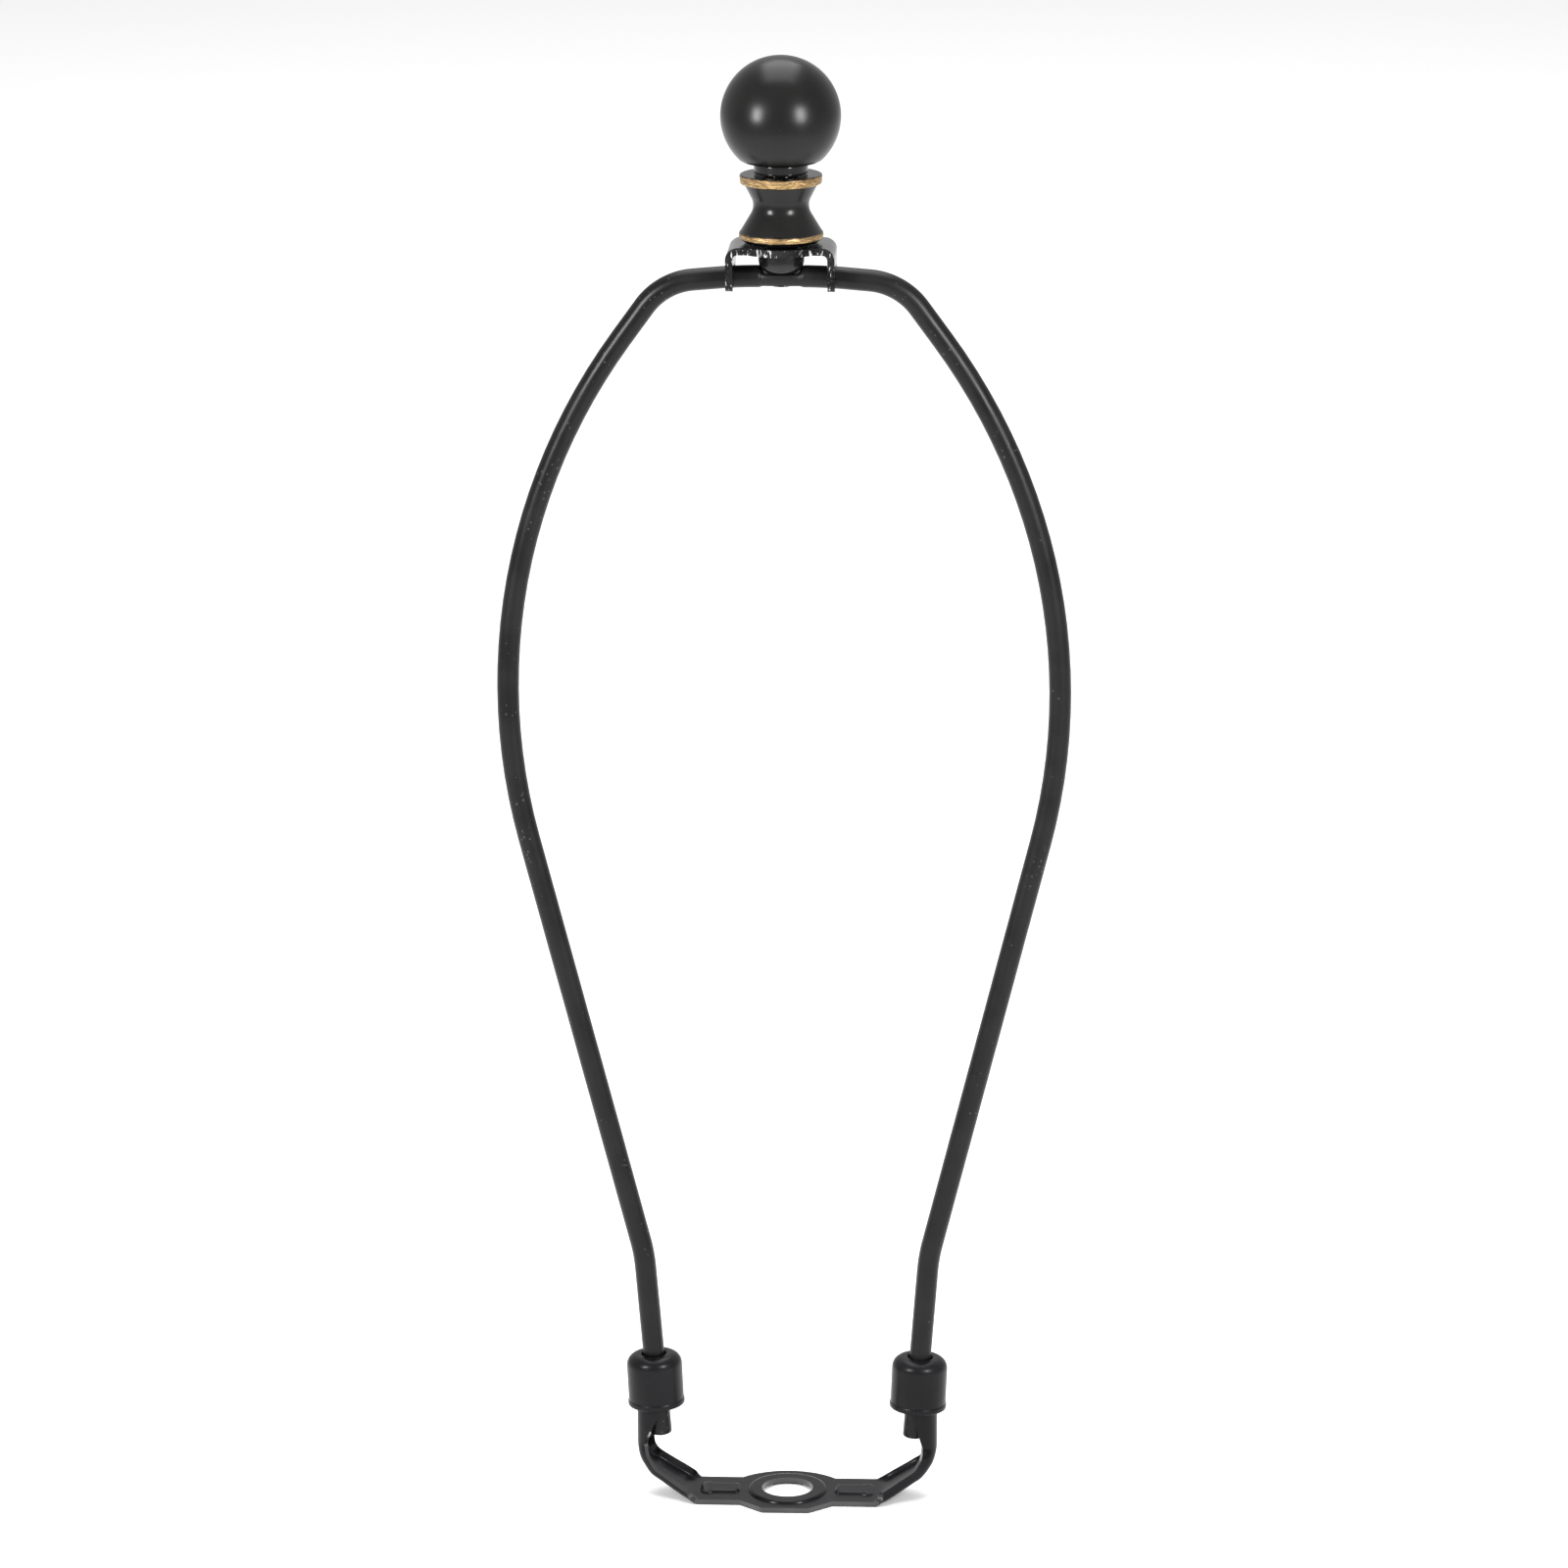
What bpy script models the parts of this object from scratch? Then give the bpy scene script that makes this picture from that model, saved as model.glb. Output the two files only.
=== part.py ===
"""A lamp harp: a bent steel wire that carries a lampshade over a bulb.

The wire's feet stand in the rolled arms of a stamped saddle, and two sleeves slide down over the
joints to lock them. On top a threaded stud is riveted through the flattened wire. A small bent
plate, the shade rest, straddles the wire round the stud, and a ball finial screws down on it.

The origin is in the middle of the saddle's hole, on its underside. +Z is up, the harp's loop lies
in the XZ plane, and -Y is the front. Every length is in metres.
"""

import math

import bmesh
import bpy
from mathutils import Matrix, Vector

MM = 0.001

# Fit between pieces that touch, and how far a cutter goes past what it cuts
SEAT_GAP = 0.3 * MM
CUT_PAST = 1.0 * MM
ARC_PAST = 10.0
COLLECTION = "lamp_harp"

# Harp as a whole: upper face of the saddle to upper face of the shade rest, a 10 inch harp
HARP_HEIGHT = 254.6 * MM

# Wire, and the corners that its bends round off
WIRE_DIAMETER = 4.3 * MM
WIRE_DROP = 6.5 * MM
TOP_CROWN_RADIUS = 90.0 * MM
TOP_SLOPE = math.radians(4.9)
SHOULDER_REACH = 22.9 * MM
SHOULDER_RADIUS = 13.0 * MM
BELLY_REACH = 63.95 * MM
BELLY_HEIGHT = 191.5 * MM
BELLY_RADIUS = 120.0 * MM
KNEE_HEIGHT = 51.0 * MM
KNEE_RADIUS = 35.0 * MM
FOOT_HEIGHT = 13.0 * MM
FOOT_LEAN = math.radians(4.6)
FOOT_CHAMFER = 0.3 * MM

# Pad pressed flat in the middle of the wire, where the stud is riveted
PAD_LENGTH = 6.4 * MM
PAD_SHOULDER = 1.2 * MM
PAD_WIDTH = 5.8 * MM
PAD_TOP = 0.7 * MM
PAD_BOTTOM = -1.65 * MM

# Saddle: stamped strip with a round eye, and arms folded into channels
SHEET = 1.1 * MM
SHEET_EDGE = 0.25 * MM
SADDLE_WIDTH = 60.3 * MM
STRIP_DEPTH = 12.6 * MM
FLAT_LENGTH = 38.0 * MM
ARM_TOP = 28.5 * MM
ARM_SLOPE = math.radians(34.0)
FLAT_BEND_RADIUS = 5.0 * MM
ELBOW_RADIUS = 7.5 * MM
LIP_HEIGHT = 15.5 * MM
LIP_LENGTH = 1.65 * MM
FOLD_START = 1.0 * MM
TALL_FOLD = math.radians(74)
TALL_EDGE = 1.2 * MM
SHORT_FOLD = math.radians(62)
SHORT_EDGE = 0.5 * MM
CORNER_LENGTH = 1.4 * MM
HOLE_DIAMETER = 10.3 * MM
EYE_LENGTH = 18.6 * MM
EYE_DEPTH = 20.4 * MM
EYE_FRONT_FLAT = 9.3 * MM
RING_DIAMETER = 15.3 * MM
EMBOSS_HEIGHT = 0.5 * MM
EMBOSS_DRAFT = 0.35 * MM
RIB_START = 9.75 * MM
RIB_END = 16.6 * MM
RIB_RUN_OUT = 1.05 * MM
RIB_WIDTH = 3.4 * MM

# How the arm closes: at each landmark, the share of the strip's floor that is left, and how far
# the taller and the shorter side have gone from their folds towards the channel
BEND_END_SHARES = (0.94, 0.0, 0.0)
ELBOW_START_SHARES = (0.8, 0.0, 0.0)
ELBOW_MIDDLE_SHARES = (0.45, 0.2, 0.1)
ELBOW_END_SHARES = (0.0, 0.7, 0.6)
ELBOW_MIDDLE = 0.45

# Locking sleeves
SLEEVE_DIAMETER = 11.1 * MM
SLEEVE_LENGTH = 10.6 * MM
SLEEVE_WALL = 0.8 * MM
SLEEVE_SHOULDER = 2.2 * MM
SLEEVE_RIM = 0.15 * MM
SLEEVE_RIM_HEIGHT = 0.9 * MM
SLEEVE_LEAN = math.radians(2.5)
SLEEVE_PLAY = 0.36 * MM

# Shade rest
REST_WIDTH = 20.9 * MM
REST_SHEET = 1.4 * MM
REST_DEPTH = 12.0 * MM
REST_DISC = 17.2 * MM
REST_DROP = 8.7 * MM
REST_BEND = 1.7 * MM
EAR_END_RADIUS = 1.9 * MM
EAR_END_TURN = 65.0

# Threaded stud: 1/4-27 thread, bowl-shaped flange, and a shank riveted through the pad
THREAD_DIAMETER = 6.35 * MM
STUD_HEIGHT = 8.4 * MM
STUD_CHAMFER = 0.5 * MM
FLANGE_DIAMETER = 8.9 * MM
FLANGE_RIM = 1.5 * MM
FLANGE_EDGE = 0.4 * MM
BOWL_FOOT_DIAMETER = 4.6 * MM
SHANK_DIAMETER = 3.0 * MM
RIVET_DIAMETER = 4.0 * MM
RIVET_DEPTH = 0.7 * MM

# Finial: spool-shaped base, joining stud with a collar, and ball
BASE_HEIGHT = 13.3 * MM
TOP_BAND_DIAMETER = 16.1 * MM
TOP_BAND_HEIGHT = 1.7 * MM
TOP_BAND_TAPER = 0.25 * MM
SPOOL_TOP_DIAMETER = 14.3 * MM
WAIST_DIAMETER = 10.5 * MM
WAIST_HEIGHT = 7.2 * MM
WAIST_RADIUS = 3.2 * MM
LOWER_RING_DIAMETER = 16.2 * MM
LOWER_RING_HEIGHT = 1.35 * MM
LOWER_RING_LEVEL = 1.6 * MM
LOWER_RING_BULGE = 0.24 * MM
BASE_FOOT_DIAMETER = 14.0 * MM
COLLAR_DIAMETER = 10.4 * MM
COLLAR_HEIGHT = 2.15 * MM
SPIGOT_LENGTH = 3.4 * MM
BALL_DIAMETER = 23.0 * MM
BALL_FLAT_DIAMETER = 15.0 * MM
BALL_FLAT_EDGE = 0.4 * MM
BALL_HOLE_DEPTH = 7.0 * MM
TURNED_EDGE = 0.2 * MM

# Fineness of round shapes, rows and cells of the saddle's sheet, and how much of a run may bend
TURNED_STEPS = 32
HOLE_STEPS = 24
SLEEVE_STEPS = 28
DISC_STEPS = 40
WIRE_SIDES = 12
BEAD_STEPS = 5
BOWL_STEPS = 6
ARC_STEP = math.radians(9.0)
LONG_ARC_STEP = math.radians(4.0)
TIGHT_ARC_STEP = math.radians(22.5)
EAR_ARC_STEPS = 6
EDGE_STEPS = 2
SHARP_ANGLE = math.radians(50)
RIM_ANGLE = math.radians(80)
BEND_SHARE = 0.95
SADDLE_ROW_STEP = 1.6 * MM
FLAT_CELLS = 5
FOLD_CELLS = 4
TINY = 1e-9

# Levels and radii that follow from the sizes above
WIRE_RADIUS = WIRE_DIAMETER / 2
REST_TOP = SHEET + HARP_HEIGHT
WIRE_TOP_LEVEL = REST_TOP - WIRE_DROP
PAD_TOP_LEVEL = WIRE_TOP_LEVEL + PAD_TOP
PAD_BOTTOM_LEVEL = WIRE_TOP_LEVEL + PAD_BOTTOM
CHANNEL_RADIUS = WIRE_RADIUS + SEAT_GAP + SHEET / 2
CHANNEL_X = SADDLE_WIDTH / 2 - SHEET / 2
ARM_INNER_X = SADDLE_WIDTH / 2 - SHEET
LEG_TOP_X = ARM_INNER_X - SEAT_GAP - WIRE_RADIUS / math.cos(FOOT_LEAN)
SLEEVE_TOP = ARM_TOP + 2 * SEAT_GAP + SLEEVE_WALL
SLEEVE_HOLE = WIRE_RADIUS + SLEEVE_PLAY
THREAD_BORE = THREAD_DIAMETER / 2 + SEAT_GAP
BASE_TOP = REST_TOP + BASE_HEIGHT
BALL_RADIUS = BALL_DIAMETER / 2
BALL_BOTTOM = BASE_TOP + COLLAR_HEIGHT + SEAT_GAP
BALL_CENTRE = BALL_BOTTOM + math.sqrt(BALL_RADIUS**2 - (BALL_FLAT_DIAMETER / 2) ** 2)


def leg_x(height):
    """Distance of the leaning foot's centre line from the middle, at a height."""
    return LEG_TOP_X + (height - ARM_TOP) * math.tan(FOOT_LEAN)


def clear_scene():
    for obj in list(bpy.data.objects):
        bpy.data.objects.remove(obj, do_unlink=True)


def new_collection(name, hidden=False):
    collection = bpy.data.collections.new(name)
    bpy.context.scene.collection.children.link(collection)
    collection.hide_render = hidden
    return collection


def material(name, colour, roughness, metallic=0.0, coat=0.0):
    paint = bpy.data.materials.new(name)
    paint.use_nodes = True
    shader = paint.node_tree.nodes["Principled BSDF"]
    shader.inputs["Base Color"].default_value = (*colour, 1.0)
    shader.inputs["Roughness"].default_value = roughness
    shader.inputs["Metallic"].default_value = metallic
    shader.inputs["Coat Weight"].default_value = coat
    return paint


def rounded_path(corners, radii, step=ARC_STEP):
    """Points along straight runs whose inner corners are rounded, each bend kept within its runs."""
    points = [corners[0]]
    for before, corner, after, radius in zip(corners, corners[1:], corners[2:], radii):
        back = (points[-1] - corner).normalized()
        ahead = (after - corner).normalized()
        turn = math.pi - back.angle(ahead)
        room = min((points[-1] - corner).length, (after - corner).length / 2)
        reach = min(radius * math.tan(turn / 2), BEND_SHARE * room)
        radius = reach / math.tan(turn / 2)
        centre = corner + (back + ahead).normalized() * (radius / math.cos(turn / 2))
        start = corner + back * reach - centre
        count = max(2, math.ceil(turn / step))
        side = 1 if back.cross(ahead) < 0 else -1
        for i in range(count + 1):
            angle = side * turn * i / count
            points.append(centre + Matrix.Rotation(angle, 2) @ start)
    points.append(corners[-1])
    return points


def arc(centre, radius, start, end, count):
    """Points (r, z) of a circular arc between two angles in degrees."""
    angles = (math.radians(start + (end - start) * i / count) for i in range(count + 1))
    return [(centre[0] + radius * math.cos(a), centre[1] + radius * math.sin(a)) for a in angles]


def add_object(name, mesh, paint, collection):
    mesh.materials.append(paint)
    obj = bpy.data.objects.new(name, mesh)
    collection.objects.link(obj)
    return obj


def turned(name, profile, paint, collection, closed=False, steps=TURNED_STEPS, part_step=0.0):
    """A turned piece: the profile (r, z), down its outer side, spun about Z by a Screw. Cutters
    start part of a step round, so that their edges miss those of what they cut."""
    mesh = bpy.data.meshes.new(name)
    edges = [(i, i + 1) for i in range(len(profile) - 1)]
    if closed:
        edges.append((len(profile) - 1, 0))
    mesh.from_pydata([(r, 0.0, z) for r, z in profile], edges, [])
    obj = add_object(name, mesh, paint, collection)
    screw = obj.modifiers.new("Turn", "SCREW")
    screw.steps = screw.render_steps = steps
    screw.use_merge_vertices = True
    screw.merge_threshold = 1e-6
    screw.use_smooth_shade = True
    obj.rotation_euler.z = part_step * math.tau / steps
    return obj


def cylinder(name, radius, low, high, collection, steps=TURNED_STEPS):
    mesh = bpy.data.meshes.new(name)
    shape = bmesh.new()
    bmesh.ops.create_cone(
        shape, cap_ends=True, segments=steps, radius1=radius, radius2=radius, depth=high - low
    )
    bmesh.ops.translate(shape, verts=shape.verts, vec=(0, 0, (low + high) / 2))
    shape.to_mesh(mesh)
    shape.free()
    obj = bpy.data.objects.new(name, mesh)
    collection.objects.link(obj)
    return obj


def prism(name, outline, start, end, collection):
    """The closed outline (y, z), anticlockwise seen from +X, drawn out along X."""
    count = len(outline)
    verts = [(x, y, z) for x in (start, end) for y, z in outline]
    faces = [tuple(reversed(range(count))), tuple(range(count, 2 * count))]
    faces += [(i, (i + 1) % count, count + (i + 1) % count, count + i) for i in range(count)]
    mesh = bpy.data.meshes.new(name)
    mesh.from_pydata(verts, [], faces)
    obj = bpy.data.objects.new(name, mesh)
    collection.objects.link(obj)
    return obj


def boolean(obj, operation, tool):
    tool.hide_render = True
    tool.display_type = "WIRE"
    step = obj.modifiers.new(f"{operation.title()} {tool.name}", "BOOLEAN")
    step.operation = operation
    step.object = tool
    return step


def soften(obj, width, segments=1):
    """Rounds or chamfers an object's square edges, and leaves its bends as they are."""
    edge = obj.modifiers.new("Edges", "BEVEL")
    edge.width = width
    edge.segments = segments
    edge.limit_method = "ANGLE"
    edge.angle_limit = RIM_ANGLE


def wire_route():
    """Centre line of the right half of the wire, (x, z) from the top centre to the foot."""
    foot = Vector((leg_x(FOOT_HEIGHT), FOOT_HEIGHT))
    crown = PAD_LENGTH / 2 + PAD_SHOULDER + TOP_CROWN_RADIUS * math.tan(TOP_SLOPE / 2)
    shoulder_drop = (SHOULDER_REACH - crown) * math.tan(TOP_SLOPE)
    corners = [
        Vector((0.0, WIRE_TOP_LEVEL)),
        Vector((crown, WIRE_TOP_LEVEL)),
        Vector((SHOULDER_REACH, WIRE_TOP_LEVEL - shoulder_drop)),
        Vector((BELLY_REACH, BELLY_HEIGHT)),
        Vector((leg_x(KNEE_HEIGHT), KNEE_HEIGHT)),
        foot,
    ]
    radii = [TOP_CROWN_RADIUS, SHOULDER_RADIUS, BELLY_RADIUS, KNEE_RADIUS]
    return rounded_path(corners, radii, LONG_ARC_STEP)


def press_pad(mesh):
    """Presses the middle of the wire flat from above and below, so that it spreads sideways."""
    spread = PAD_WIDTH / WIRE_DIAMETER
    for vert in mesh.vertices:
        x, y, z = vert.co
        share = (PAD_LENGTH / 2 + PAD_SHOULDER - abs(x)) / PAD_SHOULDER
        share = min(max(share, 0.0), 1.0)
        if z < WIRE_TOP_LEVEL - WIRE_DIAMETER or share == 0.0:
            continue
        flat = min(max(z, PAD_BOTTOM_LEVEL), PAD_TOP_LEVEL)
        vert.co = (x, y * (1 + (spread - 1) * share), z + (flat - z) * share)


def make_harp_wire(paint, collection, cutters):
    route = wire_route()
    pad_ends = [0.0, PAD_LENGTH / 4, PAD_LENGTH / 2, PAD_LENGTH / 2 + PAD_SHOULDER]
    half = [(x, WIRE_TOP_LEVEL) for x in pad_ends] + [tuple(p) for p in route[1:]]
    whole = [(-x, z) for x, z in reversed(half[1:])] + half
    data = bpy.data.curves.new("harp_wire", "CURVE")
    data.dimensions = "3D"
    data.bevel_depth = WIRE_RADIUS
    data.bevel_resolution = WIRE_SIDES // 2 - 2
    data.use_fill_caps = True
    spline = data.splines.new("POLY")
    spline.points.add(len(whole) - 1)
    for point, (x, z) in zip(spline.points, whole):
        point.co = (x, 0.0, z, 1.0)
    guide = bpy.data.objects.new("harp_wire_guide", data)
    collection.objects.link(guide)
    mesh = bpy.data.meshes.new_from_object(
        guide.evaluated_get(bpy.context.evaluated_depsgraph_get())
    )
    bpy.data.objects.remove(guide, do_unlink=True)
    shape = bmesh.new()
    shape.from_mesh(mesh)
    bmesh.ops.remove_doubles(shape, verts=shape.verts, dist=1e-6)
    bmesh.ops.recalc_face_normals(shape, faces=shape.faces)
    shape.to_mesh(mesh)
    shape.free()
    press_pad(mesh)
    mesh.shade_smooth()
    mesh.set_sharp_from_angle(angle=SHARP_ANGLE)
    wire = add_object("harp_wire", mesh, paint, collection)
    soften(wire, FOOT_CHAMFER)
    hole = SHANK_DIAMETER / 2 + SEAT_GAP
    sink = RIVET_DIAMETER / 2 + SEAT_GAP
    seat = PAD_BOTTOM_LEVEL + RIVET_DEPTH + SEAT_GAP / 2
    flare = (sink - hole) / (seat - PAD_BOTTOM_LEVEL)
    profile = [
        (0.0, PAD_TOP_LEVEL + CUT_PAST),
        (hole, PAD_TOP_LEVEL + CUT_PAST),
        (hole, seat),
        (sink + flare * CUT_PAST, PAD_BOTTOM_LEVEL - CUT_PAST),
        (0.0, PAD_BOTTOM_LEVEL - CUT_PAST),
    ]
    cutter = turned("rivet_hole", profile, paint, cutters, steps=HOLE_STEPS, part_step=0.5)
    boolean(wire, "DIFFERENCE", cutter)
    return wire


def eye_half_depths(x):
    """Front and back edge of the flat strip at a distance x from the middle. The eye is cut
    straight at the front and round at the back."""
    strip, eye = STRIP_DEPTH / 2, EYE_DEPTH / 2
    half, flat = EYE_LENGTH / 2, EYE_FRONT_FLAT / 2
    if x >= half:
        return strip, strip
    front = eye if x <= flat else strip + (eye - strip) * (half - x) / (half - flat)
    rise = eye - strip
    radius = (half**2 + rise**2) / (2 * rise)
    back = strip + math.sqrt(radius**2 - x**2) - (radius - rise)
    return front, back


def half_section(floor, bend, fold, straight):
    """Half of the sheet's middle line, (across, up): a flat floor, a bend of the given length that
    turns by fold, and a straight side."""
    points = [(0.0, 0.0), (floor / 2, 0.0), (floor, 0.0)]
    for i in range(1, FOLD_CELLS + 1):
        angle = fold * i / FOLD_CELLS
        if fold < TINY:
            points.append((floor + bend * i / FOLD_CELLS, 0.0))
        else:
            radius = bend / fold
            points.append((floor + radius * math.sin(angle), radius * (1 - math.cos(angle))))
    across, up = points[-1]
    points.append((across + straight * math.cos(fold), up + straight * math.sin(fold)))
    return points


def arm_path():
    """Middle line of the saddle's right half, (x, z), with the arc length of its landmarks."""
    level = SHEET / 2
    bend_x = FLAT_LENGTH / 2
    corner = Vector((CHANNEL_X, level + (CHANNEL_X - bend_x) * math.tan(ARM_SLOPE)))
    flat_end = Vector((bend_x, level))
    corners = [Vector((0.0, level)), flat_end, corner, Vector((CHANNEL_X, ARM_TOP))]
    return rounded_path(corners, [FLAT_BEND_RADIUS, ELBOW_RADIUS])


def arm_keys(path):
    """Sections that the arm passes through: (place along the path, floor, and for the taller and
    the shorter side: bend length, fold and straight length)."""
    lengths = [0.0]
    for a, b in zip(path, path[1:]):
        lengths.append(lengths[-1] + (b - a).length)
    slopes = [math.atan2((b - a).y, (b - a).x) for a, b in zip(path, path[1:])]
    slack = ARC_STEP / 4
    flat_end = next(s for s, a in zip(lengths, slopes) if a > slack)
    bend_end = next(s for s, a in zip(lengths, slopes) if a > ARM_SLOPE - slack)
    elbow_start = next(s for s, a in zip(lengths, slopes) if a > ARM_SLOPE + slack)
    elbow_end = next(s for s, a in zip(lengths, slopes) if a > math.pi / 2 - slack)
    middle = blend(elbow_start, elbow_end, ELBOW_MIDDLE)
    top = lengths[-1]
    lip = top - (ARM_TOP - LIP_HEIGHT)
    floor = STRIP_DEPTH / 2 - SHORT_EDGE - CORNER_LENGTH
    tall, short = (CORNER_LENGTH, TALL_FOLD, TALL_EDGE), (CORNER_LENGTH, SHORT_FOLD, SHORT_EDGE)
    flat = (CORNER_LENGTH, 0.0, SHORT_EDGE)
    closed = (CHANNEL_RADIUS * math.pi / 2, math.pi / 2, LIP_LENGTH)
    keys = [(flat_end, floor, flat, flat), (flat_end + FOLD_START, floor, flat, flat)]
    for place, (left, tall_share, short_share) in (
        (bend_end, BEND_END_SHARES),
        (elbow_start, ELBOW_START_SHARES),
        (middle, ELBOW_MIDDLE_SHARES),
        (elbow_end, ELBOW_END_SHARES),
    ):
        sides = blend(tall, closed, tall_share), blend(short, closed, short_share)
        keys.append((place, left * floor, *sides))
    keys += [(lip, 0.0, closed, closed), (top, 0.0, closed, closed)]
    return lengths, keys


def blend(a, b, share):
    if isinstance(a, tuple):
        return tuple(blend(p, q, share) for p, q in zip(a, b))
    return a + (b - a) * share


def section_at(keys, place):
    """The section between the two keys that a place lies between."""
    for (start, *first), (end, *second) in zip(keys, keys[1:]):
        if place <= end:
            share = (place - start) / (end - start)
            share = share * share * (3 - 2 * share)
            return tuple(blend(p, q, share) for p, q in zip(first, second))
    return tuple(keys[-1][1:])


def saddle_stations(tall_side):
    """Half of the saddle as rows of middle-surface points, from the middle to the top of an arm at
    +X. The taller side of the arm is at the front where tall_side is -1, else at the back."""
    path = arm_path()
    lengths, keys = arm_keys(path)
    flat_end = keys[0][0]
    half, flat = EYE_LENGTH / 2, EYE_FRONT_FLAT / 2
    rib_top = RIB_START + EMBOSS_DRAFT, RIB_END - RIB_RUN_OUT
    rows = []
    eye = [0.0, flat / 3, flat * 2 / 3, flat]
    eye += [blend(flat, half, 1 / 3), blend(flat, half, 2 / 3), half]
    for x in eye + [RIB_START, *rib_top, RIB_END]:
        lift = EMBOSS_HEIGHT if x in rib_top else 0.0
        front, back = (flat_row(edge, lift) for edge in eye_half_depths(x))
        rows.append([(x, -y, z) for y, z in reversed(front)] + [(x, y, z) for y, z in back[1:]])
    places = sorted({place for place in lengths if place > flat_end} | {key[0] for key in keys})
    for start, end in zip(places, places[1:]):
        cells = max(1, round((end - start) / SADDLE_ROW_STEP))
        rows += [arm_row(path, lengths, keys, blend(start, end, i / cells), tall_side)
                 for i in range(cells)]
    rows.append(arm_row(path, lengths, keys, places[-1], tall_side))
    return rows


def flat_row(edge, lift):
    """(across, z) of half a row on the flat strip, with the rib's top raised by lift."""
    level = SHEET / 2
    foot = RIB_WIDTH / 2 + EMBOSS_DRAFT
    points = [(0.0, level + lift), (RIB_WIDTH / 2, level + lift), (foot, level)]
    points += [(blend(foot, edge, i / FLAT_CELLS), level) for i in range(1, FLAT_CELLS + 1)]
    return points


def arm_row(path, lengths, keys, place, tall_side):
    """Points (x, y, z) across the arm at a distance along its path, from front to back."""
    floor, tall, short = section_at(keys, place)
    spot, along = point_on(path, lengths, place)
    inward = Vector((-along.y, along.x))
    halves = {}
    for side, section in ((tall_side, tall), (-tall_side, short)):
        halves[side] = []
        for across, up in half_section(floor, *section):
            at = spot + inward * up
            halves[side].append((at.x, side * across, at.y))
    return halves[-1][::-1] + halves[1][1:]


def point_on(path, lengths, place):
    """Point and direction at a distance along the path, with the direction smoothed at its points."""
    for i, (a, b) in enumerate(zip(lengths, lengths[1:])):
        if place <= b + TINY:
            share = (place - a) / (b - a)
            spot = path[i].lerp(path[i + 1], share)
            here = (path[i + 1] - path[i]).normalized()
            before = (path[i] - path[i - 1]).normalized() if i else here
            after = (path[i + 2] - path[i + 1]).normalized() if i + 2 < len(path) else here
            start, end = (before + here).normalized(), (here + after).normalized()
            return spot, start.lerp(end, share).normalized()


def make_saddle(paint, collection, cutters):
    left, right = saddle_stations(1), saddle_stations(-1)
    rows = [[(-x, y, z) for x, y, z in row] for row in reversed(left[1:])] + right
    across = len(rows[0])
    verts = [point for row in rows for point in row]
    faces = [
        (i * across + j, (i + 1) * across + j, (i + 1) * across + j + 1, i * across + j + 1)
        for i in range(len(rows) - 1)
        for j in range(across - 1)
    ]
    mesh = bpy.data.meshes.new("saddle")
    mesh.from_pydata(verts, [], faces)
    shape = bmesh.new()
    shape.from_mesh(mesh)
    bmesh.ops.remove_doubles(shape, verts=shape.verts, dist=MM / 50)
    bmesh.ops.recalc_face_normals(shape, faces=shape.faces)
    shape.to_mesh(mesh)
    shape.free()
    saddle = add_object("saddle", mesh, paint, collection)
    wall = saddle.modifiers.new("Sheet", "SOLIDIFY")
    wall.thickness = SHEET
    wall.offset = 0.0
    wall.use_even_offset = True
    soften(saddle, SHEET_EDGE, EDGE_STEPS)
    ring = RING_DIAMETER / 2
    top, low = SHEET + EMBOSS_HEIGHT, SHEET / 2
    flare = EMBOSS_DRAFT / EMBOSS_HEIGHT
    boss = [
        (0.0, top),
        (ring - EMBOSS_DRAFT, top),
        (ring + flare * (SHEET - low), low),
        (0.0, low),
    ]
    boolean(saddle, "UNION", turned("ring_boss", boss, paint, cutters, part_step=0.5))
    recess = ring - SHEET / 2
    under = [
        (0.0, EMBOSS_HEIGHT),
        (recess - EMBOSS_DRAFT, EMBOSS_HEIGHT),
        (recess + flare * CUT_PAST, -CUT_PAST),
        (0.0, -CUT_PAST),
    ]
    boolean(saddle, "DIFFERENCE", turned("ring_recess", under, paint, cutters, part_step=0.5))
    hole = cylinder("slip_hole", HOLE_DIAMETER / 2, -CUT_PAST, top + CUT_PAST, cutters)
    boolean(saddle, "DIFFERENCE", hole)
    return saddle


def make_sleeve(name, side, paint, collection):
    """A drawn cup with a hole in its end, standing over the top of an arm round the wire."""
    outer = SLEEVE_DIAMETER / 2
    inner = outer - SLEEVE_WALL
    low = -SLEEVE_LENGTH
    bend = SLEEVE_SHOULDER
    inner_bend = bend - SLEEVE_WALL
    profile = [(SLEEVE_HOLE, 0.0)]
    profile += arc((outer - bend, -bend), bend, 90, 0, BEAD_STEPS)
    profile += [
        (outer, low + SLEEVE_RIM_HEIGHT),
        (outer + SLEEVE_RIM, low + SLEEVE_RIM_HEIGHT / 2),
        (outer + SLEEVE_RIM, low + SLEEVE_RIM),
        (outer, low),
        (inner, low),
    ]
    profile += arc((inner - inner_bend, -bend), inner_bend, 0, 90, BEAD_STEPS)
    profile += [(SLEEVE_HOLE, -SLEEVE_WALL)]
    sleeve = turned(name, profile, paint, collection, closed=True, steps=SLEEVE_STEPS)
    sleeve.location = (side * leg_x(SLEEVE_TOP), 0.0, SLEEVE_TOP)
    sleeve.rotation_euler = (0.0, side * SLEEVE_LEAN, 0.0)
    return sleeve


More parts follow.
